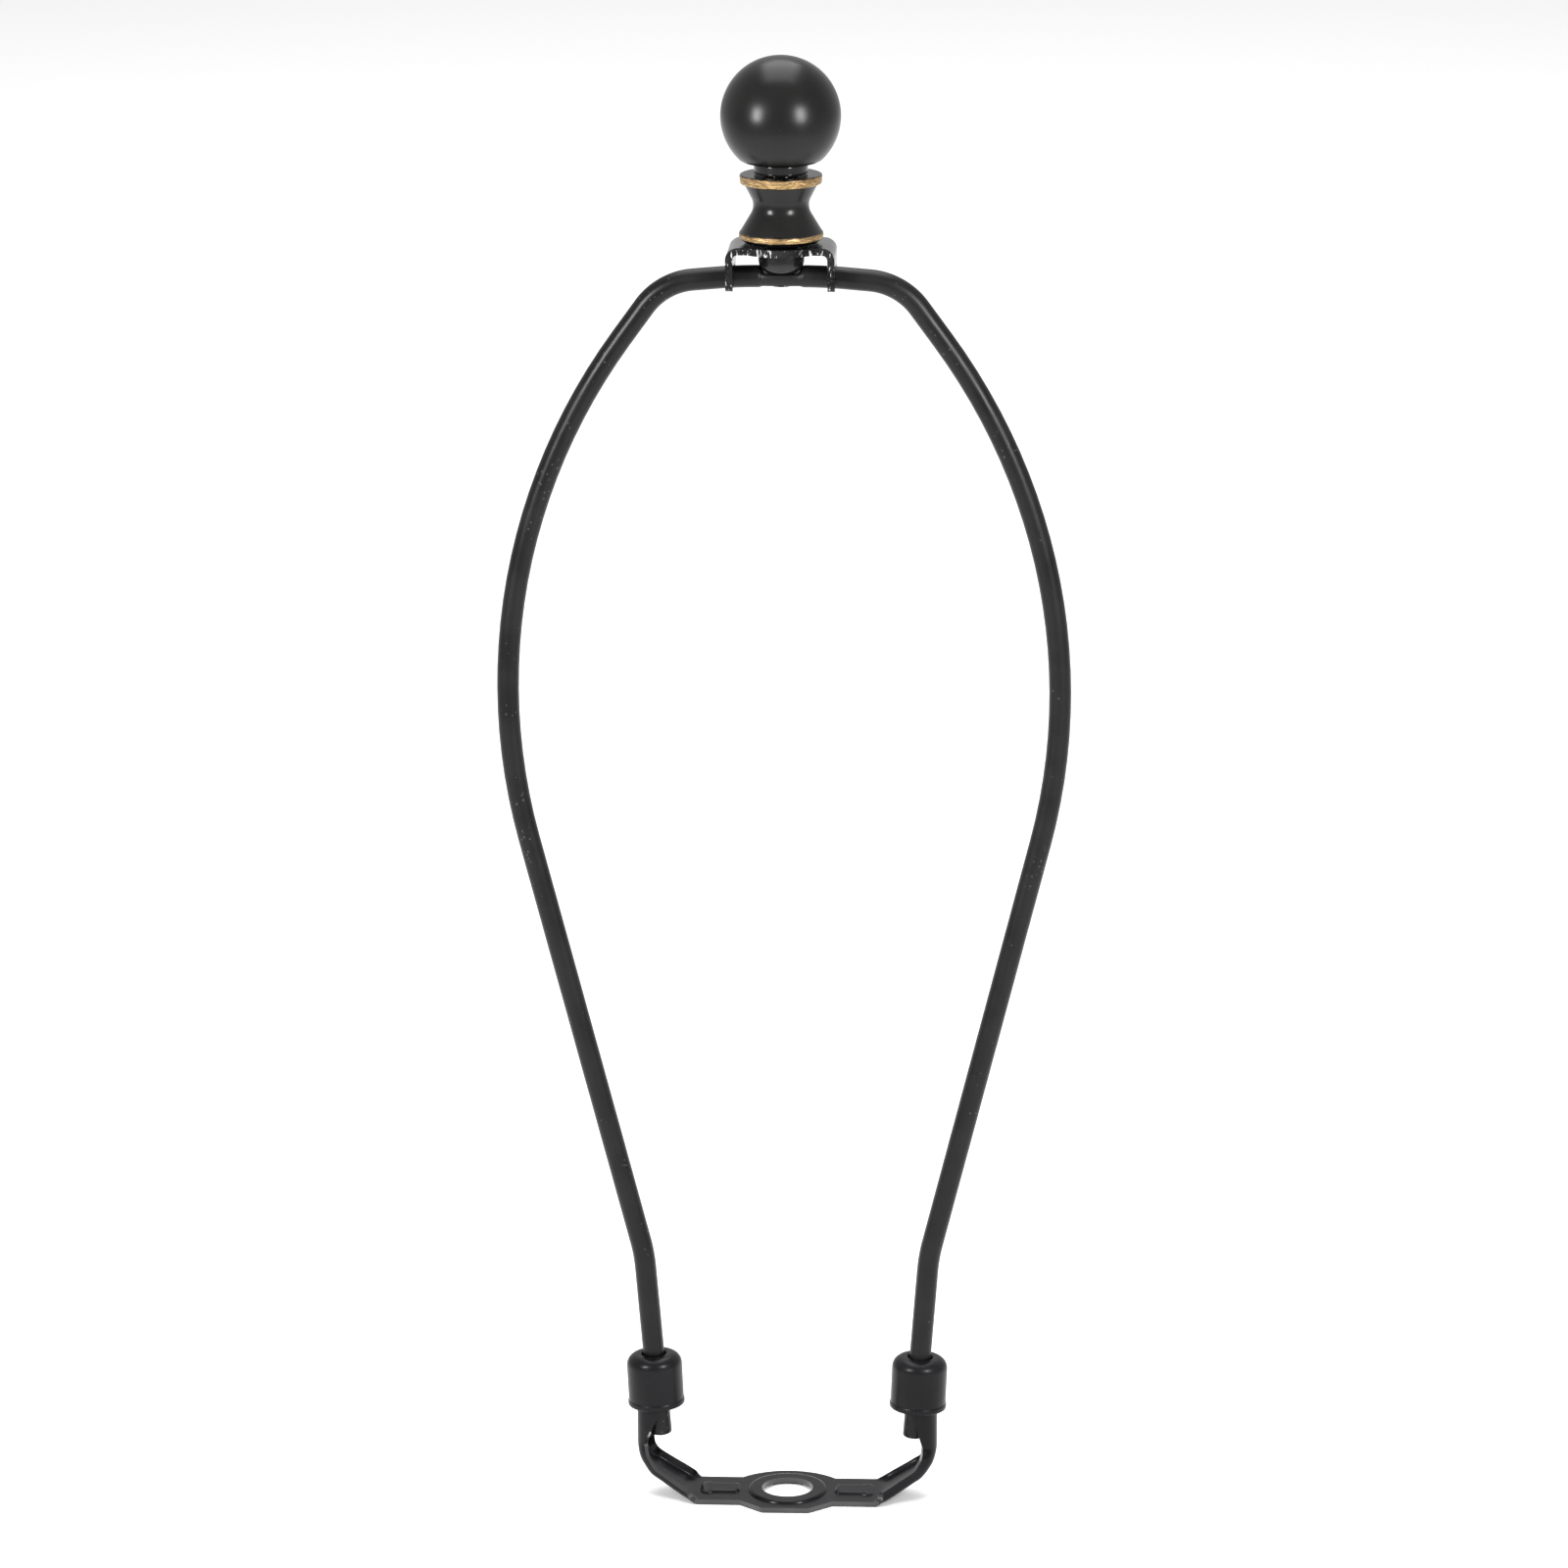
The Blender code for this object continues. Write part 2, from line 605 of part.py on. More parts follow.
def ear_outline(low, high):
    """Outline (y, z) of the rest seen from its side. Its rounded lower corners run on past the
    ends of the ears, so that no point of theirs lies on the sheet's end."""
    middle = REST_DEPTH / 2 - EAR_END_RADIUS
    level = low + EAR_END_RADIUS * math.sin(math.radians(EAR_END_TURN))
    right = arc((middle, level), EAR_END_RADIUS, -EAR_END_TURN - ARC_PAST, 0, EAR_ARC_STEPS)
    right = [(right[0][0], low - 2 * CUT_PAST), *right, (REST_DEPTH / 2, high)]
    return right + [(-y, z) for y, z in reversed(right)]


def make_shade_rest(paint, collection, cutters):
    half = REST_WIDTH / 2 - REST_SHEET / 2
    level = REST_TOP - REST_SHEET / 2
    low = REST_TOP - REST_DROP
    corners = [Vector(c) for c in ((-half, low), (-half, level), (half, level), (half, low))]
    path = rounded_path(corners, [REST_BEND, REST_BEND], TIGHT_ARC_STEP)
    depth = REST_DISC / 2 + CUT_PAST
    verts = [(p.x, y, p.y) for p in path for y in (-depth, depth)]
    faces = [(2 * i, 2 * i + 2, 2 * i + 3, 2 * i + 1) for i in range(len(path) - 1)]
    mesh = bpy.data.meshes.new("shade_rest")
    mesh.from_pydata(verts, [], faces)
    rest = add_object("shade_rest", mesh, paint, collection)
    wall = rest.modifiers.new("Sheet", "SOLIDIFY")
    wall.thickness = REST_SHEET
    wall.offset = 0.0
    wall.use_even_offset = True
    high = REST_TOP + CUT_PAST
    plan = cylinder("rest_plan", REST_DISC / 2, low - CUT_PAST, high, cutters, DISC_STEPS)
    strip = ear_outline(low, high + CUT_PAST)
    boolean(plan, "UNION", prism("rest_strip", strip, -REST_WIDTH, REST_WIDTH, cutters))
    boolean(rest, "INTERSECT", plan)
    bore = cylinder("rest_bore", THREAD_BORE, REST_TOP - REST_SHEET - CUT_PAST, high, cutters)
    boolean(rest, "DIFFERENCE", bore)
    slot = WIRE_RADIUS + SEAT_GAP
    fork = arc((0.0, WIRE_TOP_LEVEL), slot, 0, 180, HOLE_STEPS // 2)
    fork += [(-slot, low - CUT_PAST), (slot, low - CUT_PAST)]
    boolean(rest, "DIFFERENCE", prism("fork", fork, -REST_WIDTH, REST_WIDTH, cutters))
    return rest


def make_threaded_stud(paint, collection):
    thread = THREAD_DIAMETER / 2
    top = REST_TOP + STUD_HEIGHT
    rim, foot = FLANGE_DIAMETER / 2, BOWL_FOOT_DIAMETER / 2
    flange_top = REST_TOP - REST_SHEET - SEAT_GAP
    bowl_top = flange_top - FLANGE_RIM
    bowl_foot = PAD_TOP_LEVEL + SEAT_GAP
    shank = SHANK_DIAMETER / 2
    rivet = RIVET_DIAMETER / 2
    profile = [
        (0.0, top),
        (thread - STUD_CHAMFER, top),
        (thread, top - STUD_CHAMFER),
        (thread, flange_top),
        (rim - FLANGE_EDGE, flange_top),
        (rim, flange_top - FLANGE_EDGE),
    ]
    for i in range(BOWL_STEPS + 1):
        angle = math.pi / 2 * i / BOWL_STEPS
        radius = foot + (rim - foot) * math.cos(angle)
        profile.append((radius, bowl_top + (bowl_foot - bowl_top) * math.sin(angle)))
    profile += [
        (shank, bowl_foot),
        (shank, PAD_BOTTOM_LEVEL + RIVET_DEPTH),
        (rivet, PAD_BOTTOM_LEVEL),
        (0.0, PAD_BOTTOM_LEVEL),
    ]
    return turned("threaded_stud", profile, paint, collection)


def spool_profile(foot):
    """Outer side of the finial base below its top band: two cones with a rounded waist between
    them, then the half-round ring."""
    top = Vector((SPOOL_TOP_DIAMETER / 2, BASE_TOP - TOP_BAND_HEIGHT))
    ring_level = REST_TOP + LOWER_RING_LEVEL
    bead = LOWER_RING_HEIGHT / 2
    ring = LOWER_RING_DIAMETER / 2 - LOWER_RING_BULGE
    end = Vector((ring, ring_level + bead))
    middle = Vector((WAIST_DIAMETER / 2, REST_TOP + WAIST_HEIGHT))
    turn = math.pi - (top - middle).angle(end - middle)
    middle.x -= WAIST_RADIUS * (1 / math.cos(turn / 2) - 1)
    path = rounded_path([top, middle, end], [WAIST_RADIUS])
    points = [tuple(p) for p in path]
    for i in range(1, BEAD_STEPS):
        angle = math.pi * i / BEAD_STEPS
        bulge = LOWER_RING_BULGE * math.sin(angle)
        points.append((ring + bulge, ring_level + bead * math.cos(angle)))
    points.append((ring, ring_level - bead))
    points.append((BASE_FOOT_DIAMETER / 2, foot))
    return points


def make_finial_base(paint, collection):
    band = TOP_BAND_DIAMETER / 2
    foot = REST_TOP + SEAT_GAP
    profile = [
        (THREAD_BORE, BASE_TOP),
        (band - TURNED_EDGE, BASE_TOP),
        (band, BASE_TOP - TURNED_EDGE),
        (band - TOP_BAND_TAPER, BASE_TOP - TOP_BAND_HEIGHT),
    ]
    profile += spool_profile(foot)
    profile += [(THREAD_BORE, foot)]
    return turned("finial_base", profile, paint, collection, closed=True)


def make_joining_stud(paint, collection):
    collar = COLLAR_DIAMETER / 2
    spigot = THREAD_DIAMETER / 2
    chamfer = STUD_CHAMFER
    seat = BASE_TOP + SEAT_GAP
    collar_top = BALL_BOTTOM - SEAT_GAP
    low = BASE_TOP - SPIGOT_LENGTH
    high = BALL_BOTTOM + BALL_HOLE_DEPTH - 2 * SEAT_GAP
    profile = [
        (0.0, high),
        (spigot - chamfer, high),
        (spigot, high - chamfer),
        (spigot, collar_top),
        (collar - TURNED_EDGE, collar_top),
        (collar, collar_top - TURNED_EDGE),
        (collar, seat + TURNED_EDGE),
        (collar - TURNED_EDGE, seat),
        (spigot, seat),
        (spigot, low + chamfer),
        (spigot - chamfer, low),
        (0.0, low),
    ]
    return turned("joining_stud", profile, paint, collection)


def make_finial_ball(paint, collection):
    flat = BALL_FLAT_DIAMETER / 2
    edge_level = BALL_BOTTOM + BALL_FLAT_EDGE - BALL_CENTRE
    start = math.degrees(math.asin(edge_level / BALL_RADIUS))
    profile = arc((0.0, BALL_CENTRE), BALL_RADIUS, 90, start, TURNED_STEPS // 2)
    profile[0] = (0.0, BALL_CENTRE + BALL_RADIUS)
    profile += [
        (flat - BALL_FLAT_EDGE, BALL_BOTTOM),
        (THREAD_BORE, BALL_BOTTOM),
        (THREAD_BORE, BALL_BOTTOM + BALL_HOLE_DEPTH),
        (0.0, BALL_BOTTOM + BALL_HOLE_DEPTH),
    ]
    return turned("finial_ball", profile, paint, collection)


def main():
    clear_scene()
    parts = new_collection(COLLECTION)
    cutters = new_collection("cutters", hidden=True)
    satin = material("satin_black_paint", (0.012, 0.012, 0.013), 0.42)
    gloss = material("gloss_black_paint", (0.010, 0.010, 0.011), 0.22, coat=0.4)
    sleeve_paint = material("sleeve_black_paint", (0.016, 0.016, 0.018), 0.34)
    ball_paint = material("ball_black_paint", (0.011, 0.011, 0.012), 0.38)
    make_saddle(gloss, parts, cutters)
    make_harp_wire(satin, parts, cutters)
    make_sleeve("sleeve_left", -1, sleeve_paint, parts)
    make_sleeve("sleeve_right", 1, sleeve_paint, parts)
    make_shade_rest(gloss, parts, cutters)
    make_threaded_stud(gloss, parts)
    make_finial_base(gloss, parts)
    make_joining_stud(gloss, parts)
    make_finial_ball(ball_paint, parts)


main()
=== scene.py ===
import math
import bmesh
import bpy
import numpy as np
from mathutils import Matrix, Vector


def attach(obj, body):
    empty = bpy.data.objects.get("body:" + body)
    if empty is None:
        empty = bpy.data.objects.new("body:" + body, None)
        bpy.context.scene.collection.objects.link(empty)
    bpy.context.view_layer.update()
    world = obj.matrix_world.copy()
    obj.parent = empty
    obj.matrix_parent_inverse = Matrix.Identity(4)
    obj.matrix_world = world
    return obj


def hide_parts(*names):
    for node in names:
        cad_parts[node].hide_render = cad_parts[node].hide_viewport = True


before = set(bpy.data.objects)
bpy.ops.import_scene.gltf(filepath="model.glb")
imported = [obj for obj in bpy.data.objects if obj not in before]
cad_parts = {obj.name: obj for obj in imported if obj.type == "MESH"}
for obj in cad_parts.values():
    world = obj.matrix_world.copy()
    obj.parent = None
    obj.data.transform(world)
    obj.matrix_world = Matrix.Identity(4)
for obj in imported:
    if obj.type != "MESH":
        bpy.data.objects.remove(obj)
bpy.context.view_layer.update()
mm = 0.001
print("frame loaded:", len(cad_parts), "nodes")


def smoothStep(t):
    # 3t^2 - 2t^3 between 0 and 1, flat outside
    t = np.clip(t, 0.0, 1.0)
    return t * t * (3 - 2 * t)


def roundedLine(corners, radii, arcCells=6):
    # straight runs whose inner corners are replaced by arcs of the given radii
    corners = np.array(corners, float)
    pieces = [corners[:1]]
    for before, corner, after, radius in zip(corners, corners[1:], corners[2:], radii):
        back = (before - corner) / np.linalg.norm(before - corner)
        ahead = (after - corner) / np.linalg.norm(after - corner)
        half = math.acos(np.clip(-back @ ahead, -1, 1)) / 2
        if radius == 0 or half < 1e-6:
            pieces.append(corner[None])
            continue
        middle = back + ahead
        centre = corner + middle / np.linalg.norm(middle) * radius / math.cos(half)
        start = corner + back * radius * math.tan(half) - centre
        turn = 1 if back[0] * ahead[1] - back[1] * ahead[0] < 0 else -1
        angle = turn * 2 * half * np.linspace(0, 1, arcCells + 1)
        cos, sin = np.cos(angle), np.sin(angle)
        pieces.append(centre + np.stack([cos * start[0] - sin * start[1],
                                         sin * start[0] + cos * start[1]], 1))
    return np.concatenate(pieces + [corners[-1:]])


def splitLong(line, step):
    # a line whose pieces longer than step are cut into equal parts
    line = np.asarray(line, float)
    gaps = np.linalg.norm(np.diff(line, axis=0), axis=1)
    cells = np.maximum(1, np.ceil(gaps / step)).astype(int)
    first = np.repeat(np.arange(len(cells)), cells)
    share = np.concatenate([np.arange(n) / n for n in cells])[:, None]
    return np.concatenate([line[first] * (1 - share) + line[first + 1] * share, line[-1:]])


def lineLength(line):
    # distance run along the line at each of its points
    gaps = np.linalg.norm(np.diff(line, axis=0), axis=1)
    return np.concatenate([[0.0], np.cumsum(gaps)])


def gridFaces(rows, cols):
    # quads between neighbouring points of a rows x cols grid
    u, v = np.meshgrid(np.arange(rows - 1), np.arange(cols - 1), indexing="ij")
    at = (u * cols + v).ravel()
    return np.stack([at, at + cols, at + cols + 1, at + 1], 1)


def pieceFromGrids(name, grids, material, body, replaced, closed=True):
    # joins grids (points, uv) into one mesh, merges the points they share and turns the faces out
    verts, faces, uvs, start = [], [], [], 0
    for points, uv in grids:
        rows, cols = points.shape[:2]
        quads = gridFaces(rows, cols)
        faces.append(quads + start)
        uvs.append(uv.reshape(-1, 2)[quads.ravel()])
        verts.append(points.reshape(-1, 3))
        start += rows * cols
    mesh = bpy.data.meshes.new(name)
    mesh.from_pydata(np.concatenate(verts).tolist(), [], np.concatenate(faces).tolist())
    layer = mesh.uv_layers.new(name="surface")
    layer.data.foreach_set("uv", np.concatenate(uvs).astype(np.float32).ravel())
    shape = bmesh.new()
    shape.from_mesh(mesh)
    bmesh.ops.remove_doubles(shape, verts=shape.verts, dist=2e-6)
    bmesh.ops.dissolve_degenerate(shape, edges=shape.edges, dist=1e-7)
    bmesh.ops.recalc_face_normals(shape, faces=shape.faces)
    if closed and shape.calc_volume(signed=True) < 0:
        bmesh.ops.reverse_faces(shape, faces=shape.faces)
    shape.to_mesh(mesh)
    shape.free()
    mesh.shade_smooth()
    mesh.materials.append(material)
    obj = bpy.data.objects.new(name, mesh)
    bpy.context.scene.collection.objects.link(obj)
    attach(obj, body)
    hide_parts(*replaced)
    return obj


def turnedGrid(profile, steps, wave=None):
    # a profile (r, z) carried round Z: x = r cos a, y = r sin a, with wave(a, r, z) added to r
    profile = np.asarray(profile, float)
    angle = np.linspace(0, 2 * math.pi, steps + 1)[None, :]
    r = np.repeat(profile[:, :1], steps + 1, 1)
    z = np.repeat(profile[:, 1:], steps + 1, 1)
    if wave is not None:
        r = r + wave(angle, r, z)
    points = np.stack([r * np.cos(angle), r * np.sin(angle), z], -1)
    along = lineLength(profile)[:, None] / mm
    uv = np.stack([np.repeat(angle / (2 * math.pi), len(profile), 0),
                   np.repeat(along, steps + 1, 1)], -1)
    return points, uv


def pressedSheet(obj, thickness, edge, rimMaterial=None):
    # gives a middle surface its thickness, then rounds its sheared edges
    wall = obj.modifiers.new("sheet", "SOLIDIFY")
    wall.thickness = thickness
    wall.offset = 0.0
    wall.use_even_offset = True
    if rimMaterial:
        obj.data.materials.append(rimMaterial)
        wall.material_offset_rim = 1
    soft = obj.modifiers.new("edges", "BEVEL")
    soft.width = edge
    soft.segments = 3
    soft.limit_method = "ANGLE"
    soft.angle_limit = math.radians(55)
    soft.harden_normals = True


def addNode(tree, kind, **settings):
    # a node whose settings are its own properties or else the values of its inputs
    node = tree.nodes.new(kind)
    for key, value in settings.items():
        if hasattr(node, key):
            setattr(node, key, value)
        else:
            node.inputs[key].default_value = value
    return node


def addGroup(name, inputs, outputs):
    # an empty shader group with its sockets, (kind, name, value) each
    group = bpy.data.node_groups.new(name, "ShaderNodeTree")
    for kind, label, value in inputs:
        socket = group.interface.new_socket(name=label, in_out="INPUT", socket_type=kind)
        socket.default_value = value
    for kind, label in outputs:
        group.interface.new_socket(name=label, in_out="OUTPUT", socket_type=kind)
    return group, group.nodes.new("NodeGroupInput"), group.nodes.new("NodeGroupOutput")


def ramp(tree, source, low, high):
    # maps a value from low..high to 0..1, smoothly
    node = addNode(tree, "ShaderNodeMapRange", interpolation_type="SMOOTHSTEP")
    node.inputs["From Min"].default_value = low
    node.inputs["From Max"].default_value = high
    tree.links.new(source, node.inputs["Value"])
    return node.outputs["Result"]


def maths(tree, operation, *values):
    # a math node whose inputs are numbers or other nodes' outputs
    node = addNode(tree, "ShaderNodeMath", operation=operation)
    for socket, value in zip(node.inputs, values):
        if isinstance(value, (int, float)):
            socket.default_value = value
        else:
            tree.links.new(value, socket)
    return node.outputs[0]


def mixColour(tree, factor, first, second):
    # first colour where the factor is 0, second where it is 1
    node = addNode(tree, "ShaderNodeMix", data_type="RGBA")
    for socket, value in zip((node.inputs[0], node.inputs[6], node.inputs[7]),
                             (factor, first, second)):
        if isinstance(value, tuple):
            socket.default_value = (*value, 1)
        elif isinstance(value, (int, float)):
            socket.default_value = value
        else:
            tree.links.new(value, socket)
    return node.outputs[2]


def noise(tree, vector, scale, detail=2.0, rough=0.5):
    node = addNode(tree, "ShaderNodeTexNoise", Scale=scale, Detail=detail, Roughness=rough)
    tree.links.new(vector, node.inputs["Vector"])
    return node.outputs["Fac"]


def buildPaintGroup():
    # sprayed or dipped paint: fine orange peel, slow swells, small nibs of dust and thin patches
    group, given, out = addGroup("paintSkin", [
        ("NodeSocketFloat", "Peel Size", 1.0),
        ("NodeSocketFloat", "Nib Amount", 0.5),
    ], [("NodeSocketFloat", "Peel"), ("NodeSocketFloat", "Nibs"), ("NodeSocketFloat", "Patches")])
    place = group.nodes.new("ShaderNodeTexCoord").outputs["Object"]
    fine = addNode(group, "ShaderNodeTexNoise", Detail=3.0, Roughness=0.55)
    group.links.new(place, fine.inputs["Vector"])
    grain = maths(group, "DIVIDE", 2400.0, given.outputs["Peel Size"])
    group.links.new(grain, fine.inputs["Scale"])
    slow = noise(group, place, 330.0, 1.0)
    peel = maths(group, "ADD", maths(group, "MULTIPLY", fine.outputs["Fac"], 0.35), slow)
    spots = addNode(group, "ShaderNodeTexVoronoi", Scale=900.0)
    group.links.new(place, spots.inputs["Vector"])
    size = noise(group, place, 150.0, 1.0)
    reach = maths(group, "MULTIPLY", ramp(group, size, 0.42, 0.72), 0.32)
    reach = maths(group, "MULTIPLY", reach, given.outputs["Nib Amount"])
    nibs = maths(group, "LESS_THAN", spots.outputs["Distance"], reach)
    group.links.new(peel, out.inputs["Peel"])
    group.links.new(nibs, out.inputs["Nibs"])
    group.links.new(ramp(group, noise(group, place, 95.0, 3.0), 0.35, 0.68), out.inputs["Patches"])
    return group


paintSkin = buildPaintGroup()


def blackPaint(name, look):
    # dark paint whose roughness and tone drift a little, with bump from the shared paint skin
    material = bpy.data.materials.new(name)
    material.use_nodes = True
    tree = material.node_tree
    shader = tree.nodes["Principled BSDF"]
    skin = addNode(tree, "ShaderNodeGroup")
    skin.node_tree = paintSkin
    skin.inputs["Peel Size"].default_value = look["peelSize"]
    skin.inputs["Nib Amount"].default_value = look["nibs"]
    tone = mixColour(tree, skin.outputs["Patches"], look["dark"], look["light"])
    tone = mixColour(tree, skin.outputs["Nibs"], tone, look["nibColour"])
    tree.links.new(tone, shader.inputs["Base Color"])
    low, high = look["rough"]
    rough = maths(tree, "MULTIPLY_ADD", skin.outputs["Patches"], high - low, low)
    tree.links.new(rough, shader.inputs["Roughness"])
    height = maths(tree, "ADD", maths(tree, "MULTIPLY", skin.outputs["Peel"], look["peel"]),
                   maths(tree, "MULTIPLY", skin.outputs["Nibs"], look["nibHeight"]))
    bump = addNode(tree, "ShaderNodeBump", Strength=1.0, Distance=mm)
    tree.links.new(height, bump.inputs["Height"])
    tree.links.new(bump.outputs["Normal"], shader.inputs["Normal"])
    shader.inputs["Specular IOR Level"].default_value = look["specular"]
    shader.inputs["Coat Weight"].default_value = look["coat"]
    shader.inputs["Coat Roughness"].default_value = look["coatRough"]
    return material


wire = {
    "radius": 2.15 * mm,
    "topLevel": 249.2 * mm,
    "footLevel": 13.0 * mm,
    "armTop": 28.5 * mm,
    "armReach": 26.59 * mm,  # centre of the leg at the top of the arm
    "lean": math.radians(4.6),
    "crownRadius": 90 * mm, "crownTurn": math.radians(4.9),
    "shoulder": 22.9 * mm, "shoulderRadius": 13.0 * mm, "shoulderDrop": 1.26 * mm,
    "belly": 63.95 * mm, "bellyRadius": 120.0 * mm, "bellyLevel": 191.5 * mm,
    "kneeRadius": 35 * mm, "kneeLevel": 51.0 * mm,
    "chamfer": 0.25 * mm,
    "padHalf": 4.4 * mm,
    "padTop": 0.7 * mm,
    "padBottom": 1.65 * mm,
    "padSpread": 0.75 * mm, "padShoulder": 1.4 * mm,
    "sides": 44,
    "step": 1.1 * mm,
}


def legReach(level):
    # distance of a leg's centre from the middle, at a height near the foot: it leans outward
    return wire["armReach"] + (level - wire["armTop"]) * math.tan(wire["lean"])


def wireLine():
    # centre line of the right half, from the middle of the top to the foot: straight runs with
    # rounded corners, a slightly crowned top first
    crown = wire["padHalf"] + wire["crownRadius"] * math.tan(wire["crownTurn"] / 2)
    corners = [(0.0, wire["topLevel"]), (crown, wire["topLevel"]),
               (wire["shoulder"], wire["topLevel"] - wire["shoulderDrop"]),
               (wire["belly"], wire["bellyLevel"]),
               (legReach(wire["kneeLevel"]), wire["kneeLevel"]),
               (legReach(wire["footLevel"]), wire["footLevel"])]
    radii = [wire[k] for k in ("crownRadius", "shoulderRadius", "bellyRadius", "kneeRadius")]
    return roundedLine(corners, radii, 24)


def makeWire(material):
    # tube: centre + radius (cos a across, sin a in the loop's plane), pressed flat in the middle
    half = wireLine()
    half = np.concatenate([half[:1], splitLong(half[:2], 0.25 * mm)[1:], half[2:]])
    line = splitLong(np.concatenate([half[:0:-1] * (-1, 1), half]), wire["step"])
    ahead = np.gradient(line, axis=0)
    ahead /= np.linalg.norm(ahead, axis=1)[:, None]
    up = np.stack([-ahead[:, 1], ahead[:, 0]], 1)
    # feet cut flat, with a small chamfer in two steps
    full, chamfer = wire["radius"], wire["chamfer"]
    radius = np.full(len(line), full)
    ends = []
    for end, sign in ((0, -1), (-1, 1)):
        tip, way = line[end], ahead[end] * sign
        ring = [(tip, full - chamfer), (tip - way * chamfer * 0.4, full - chamfer * 0.4),
                (tip - way * chamfer, full)]
        ends.append((tip, ring))
    body = slice(1, -1)
    centre = np.concatenate([[ends[0][0]], [r[0] for r in ends[0][1]], line[body],
                             [r[0] for r in reversed(ends[1][1])], [ends[1][0]]])
    radius = np.concatenate([[0], [r[1] for r in ends[0][1]], radius[body],
                             [r[1] for r in reversed(ends[1][1])], [0]])
    up = np.concatenate([up[:1].repeat(4, 0), up[body], up[-1:].repeat(4, 0)])
    angle = np.linspace(0, 2 * math.pi, wire["sides"] + 1)
    across = radius[:, None] * np.cos(angle)
    rise = radius[:, None] * np.sin(angle)
    points = np.stack([centre[:, :1] + up[:, :1] * rise, across,
                       centre[:, 1:] + up[:, 1:] * rise], -1)
    x, y, z = points[..., 0], points[..., 1], points[..., 2]
    onTop = z > wire["topLevel"] - 3 * wire["radius"]
    share = smoothStep((wire["padHalf"] - abs(x)) / wire["padShoulder"]) * onTop
    bulge = np.sqrt(np.clip(1 - (x / (wire["padHalf"] - 0.3 * mm)) ** 2, 0, 1)) * onTop
    flat = np.clip(z, wire["topLevel"] - wire["padBottom"], wire["topLevel"] + wire["padTop"])
    points[..., 2] = z + (flat - z) * share
    points[..., 1] = y * (1 + wire["padSpread"] / wire["radius"] * bulge)
    along = lineLength(centre)[:, None] / mm
    uv = np.stack([np.repeat(angle[None] / (2 * math.pi), len(centre), 0),
                   np.repeat(along, len(angle), 1)], -1)
    return pieceFromGrids("harpWire", [(points, uv)], material, "harp", ["harp_wire"])


saddle = {
    "sheet": 1.1 * mm,
    "edge": 0.26 * mm,
    "flatHalf": 19.0 * mm,
    "slope": math.radians(34.0),
    "flatBend": 5.0 * mm,
    "elbow": 7.5 * mm,
    "channelX": 29.6 * mm,
    "channelRadius": 3.0 * mm,
    "armTop": 28.5 * mm,
    "lipLevel": 19.5 * mm,
    "lipLength": 1.75 * mm,
    # how far the short and the tall side reach round the wire where the elbow ends
    "lipLow": math.radians(54), "tallLipLow": math.radians(70),
    "lipLowEdge": 0.1 * mm, "tallLipLowEdge": 0.55 * mm,
    "foldStart": 0.1 * mm, "foldEnd": 3.4 * mm,
    "corner": 1.4 * mm,
    "stripHalf": 6.3 * mm,
    "tallFold": math.radians(74), "tallEdge": 1.2 * mm,
    "shortFold": math.radians(62), "shortEdge": 0.5 * mm,
    "hole": 5.15 * mm,
    "eyeHalf": 9.3 * mm,
    "eyeDepth": 10.2 * mm,
    "eyeFlat": 4.65 * mm,
    "ringOuter": 7.65 * mm,
    "emboss": 0.5 * mm,
    "draft": 0.35 * mm,
    "ribStart": 9.75 * mm, "ribEnd": 17.6 * mm, "ribHalf": 1.7 * mm, "ribCorner": 1.0 * mm,
    "flareStart": 14.6 * mm, "flareRun": 2.6 * mm, "flare": 0.8 * mm,  # each side of a rib
    "fadeStart": 15.9 * mm, "fadeRun": 1.8 * mm,
}


def embossLevel(x, y):
    # height of the pressed ring round the hole and of the bead on each side
    ring = smoothStep((saddle["ringOuter"] - np.hypot(x, y)) / saddle["draft"])
    x, y = abs(x), abs(y)
    flare = smoothStep((x - saddle["flareStart"]) / saddle["flareRun"]) * saddle["flare"]
    middle = (saddle["ribStart"] + saddle["ribEnd"]) / 2
    reach = (saddle["ribEnd"] - saddle["ribStart"]) / 2
    corner = saddle["ribCorner"]
    dx = np.maximum(abs(x - middle) - reach + corner, 0)
    dy = np.maximum(y - saddle["ribHalf"] - saddle["draft"] - flare + corner, 0)
    inside = corner - np.hypot(dx, dy)
    fade = smoothStep((x - saddle["fadeStart"]) / saddle["fadeRun"])
    rib = smoothStep(inside / saddle["draft"]) * (1 - fade)
    return saddle["emboss"] * np.maximum(ring, rib)


def armSection(floor, bend, fold, straight, cells):
    # points (across, up) of half a section: flat floor, arc of length bend that turns by fold,
    # straight side; one row for each entry of the inputs
    floorCells, bendCells, sideCells = cells
    floor, bend, fold, straight = (v[:, None] for v in (floor, bend, fold, straight))
    t = np.linspace(0, 1, floorCells + 1)[None]
    b = np.linspace(0, 1, bendCells + 1)[None, 1:]
    s = np.linspace(0, 1, sideCells + 1)[None, 1:]
    safe = np.maximum(fold, 1e-6)
    arcX = floor + bend / safe * np.sin(safe * b)
    arcZ = bend / safe * (1 - np.cos(safe * b))
    sideX = arcX[:, -1:] + straight * s * np.cos(fold)
    sideZ = arcZ[:, -1:] + straight * s * np.sin(fold)
    return (np.concatenate([floor * t, arcX, sideX], 1),
            np.concatenate([floor * t * 0, arcZ, sideZ], 1))


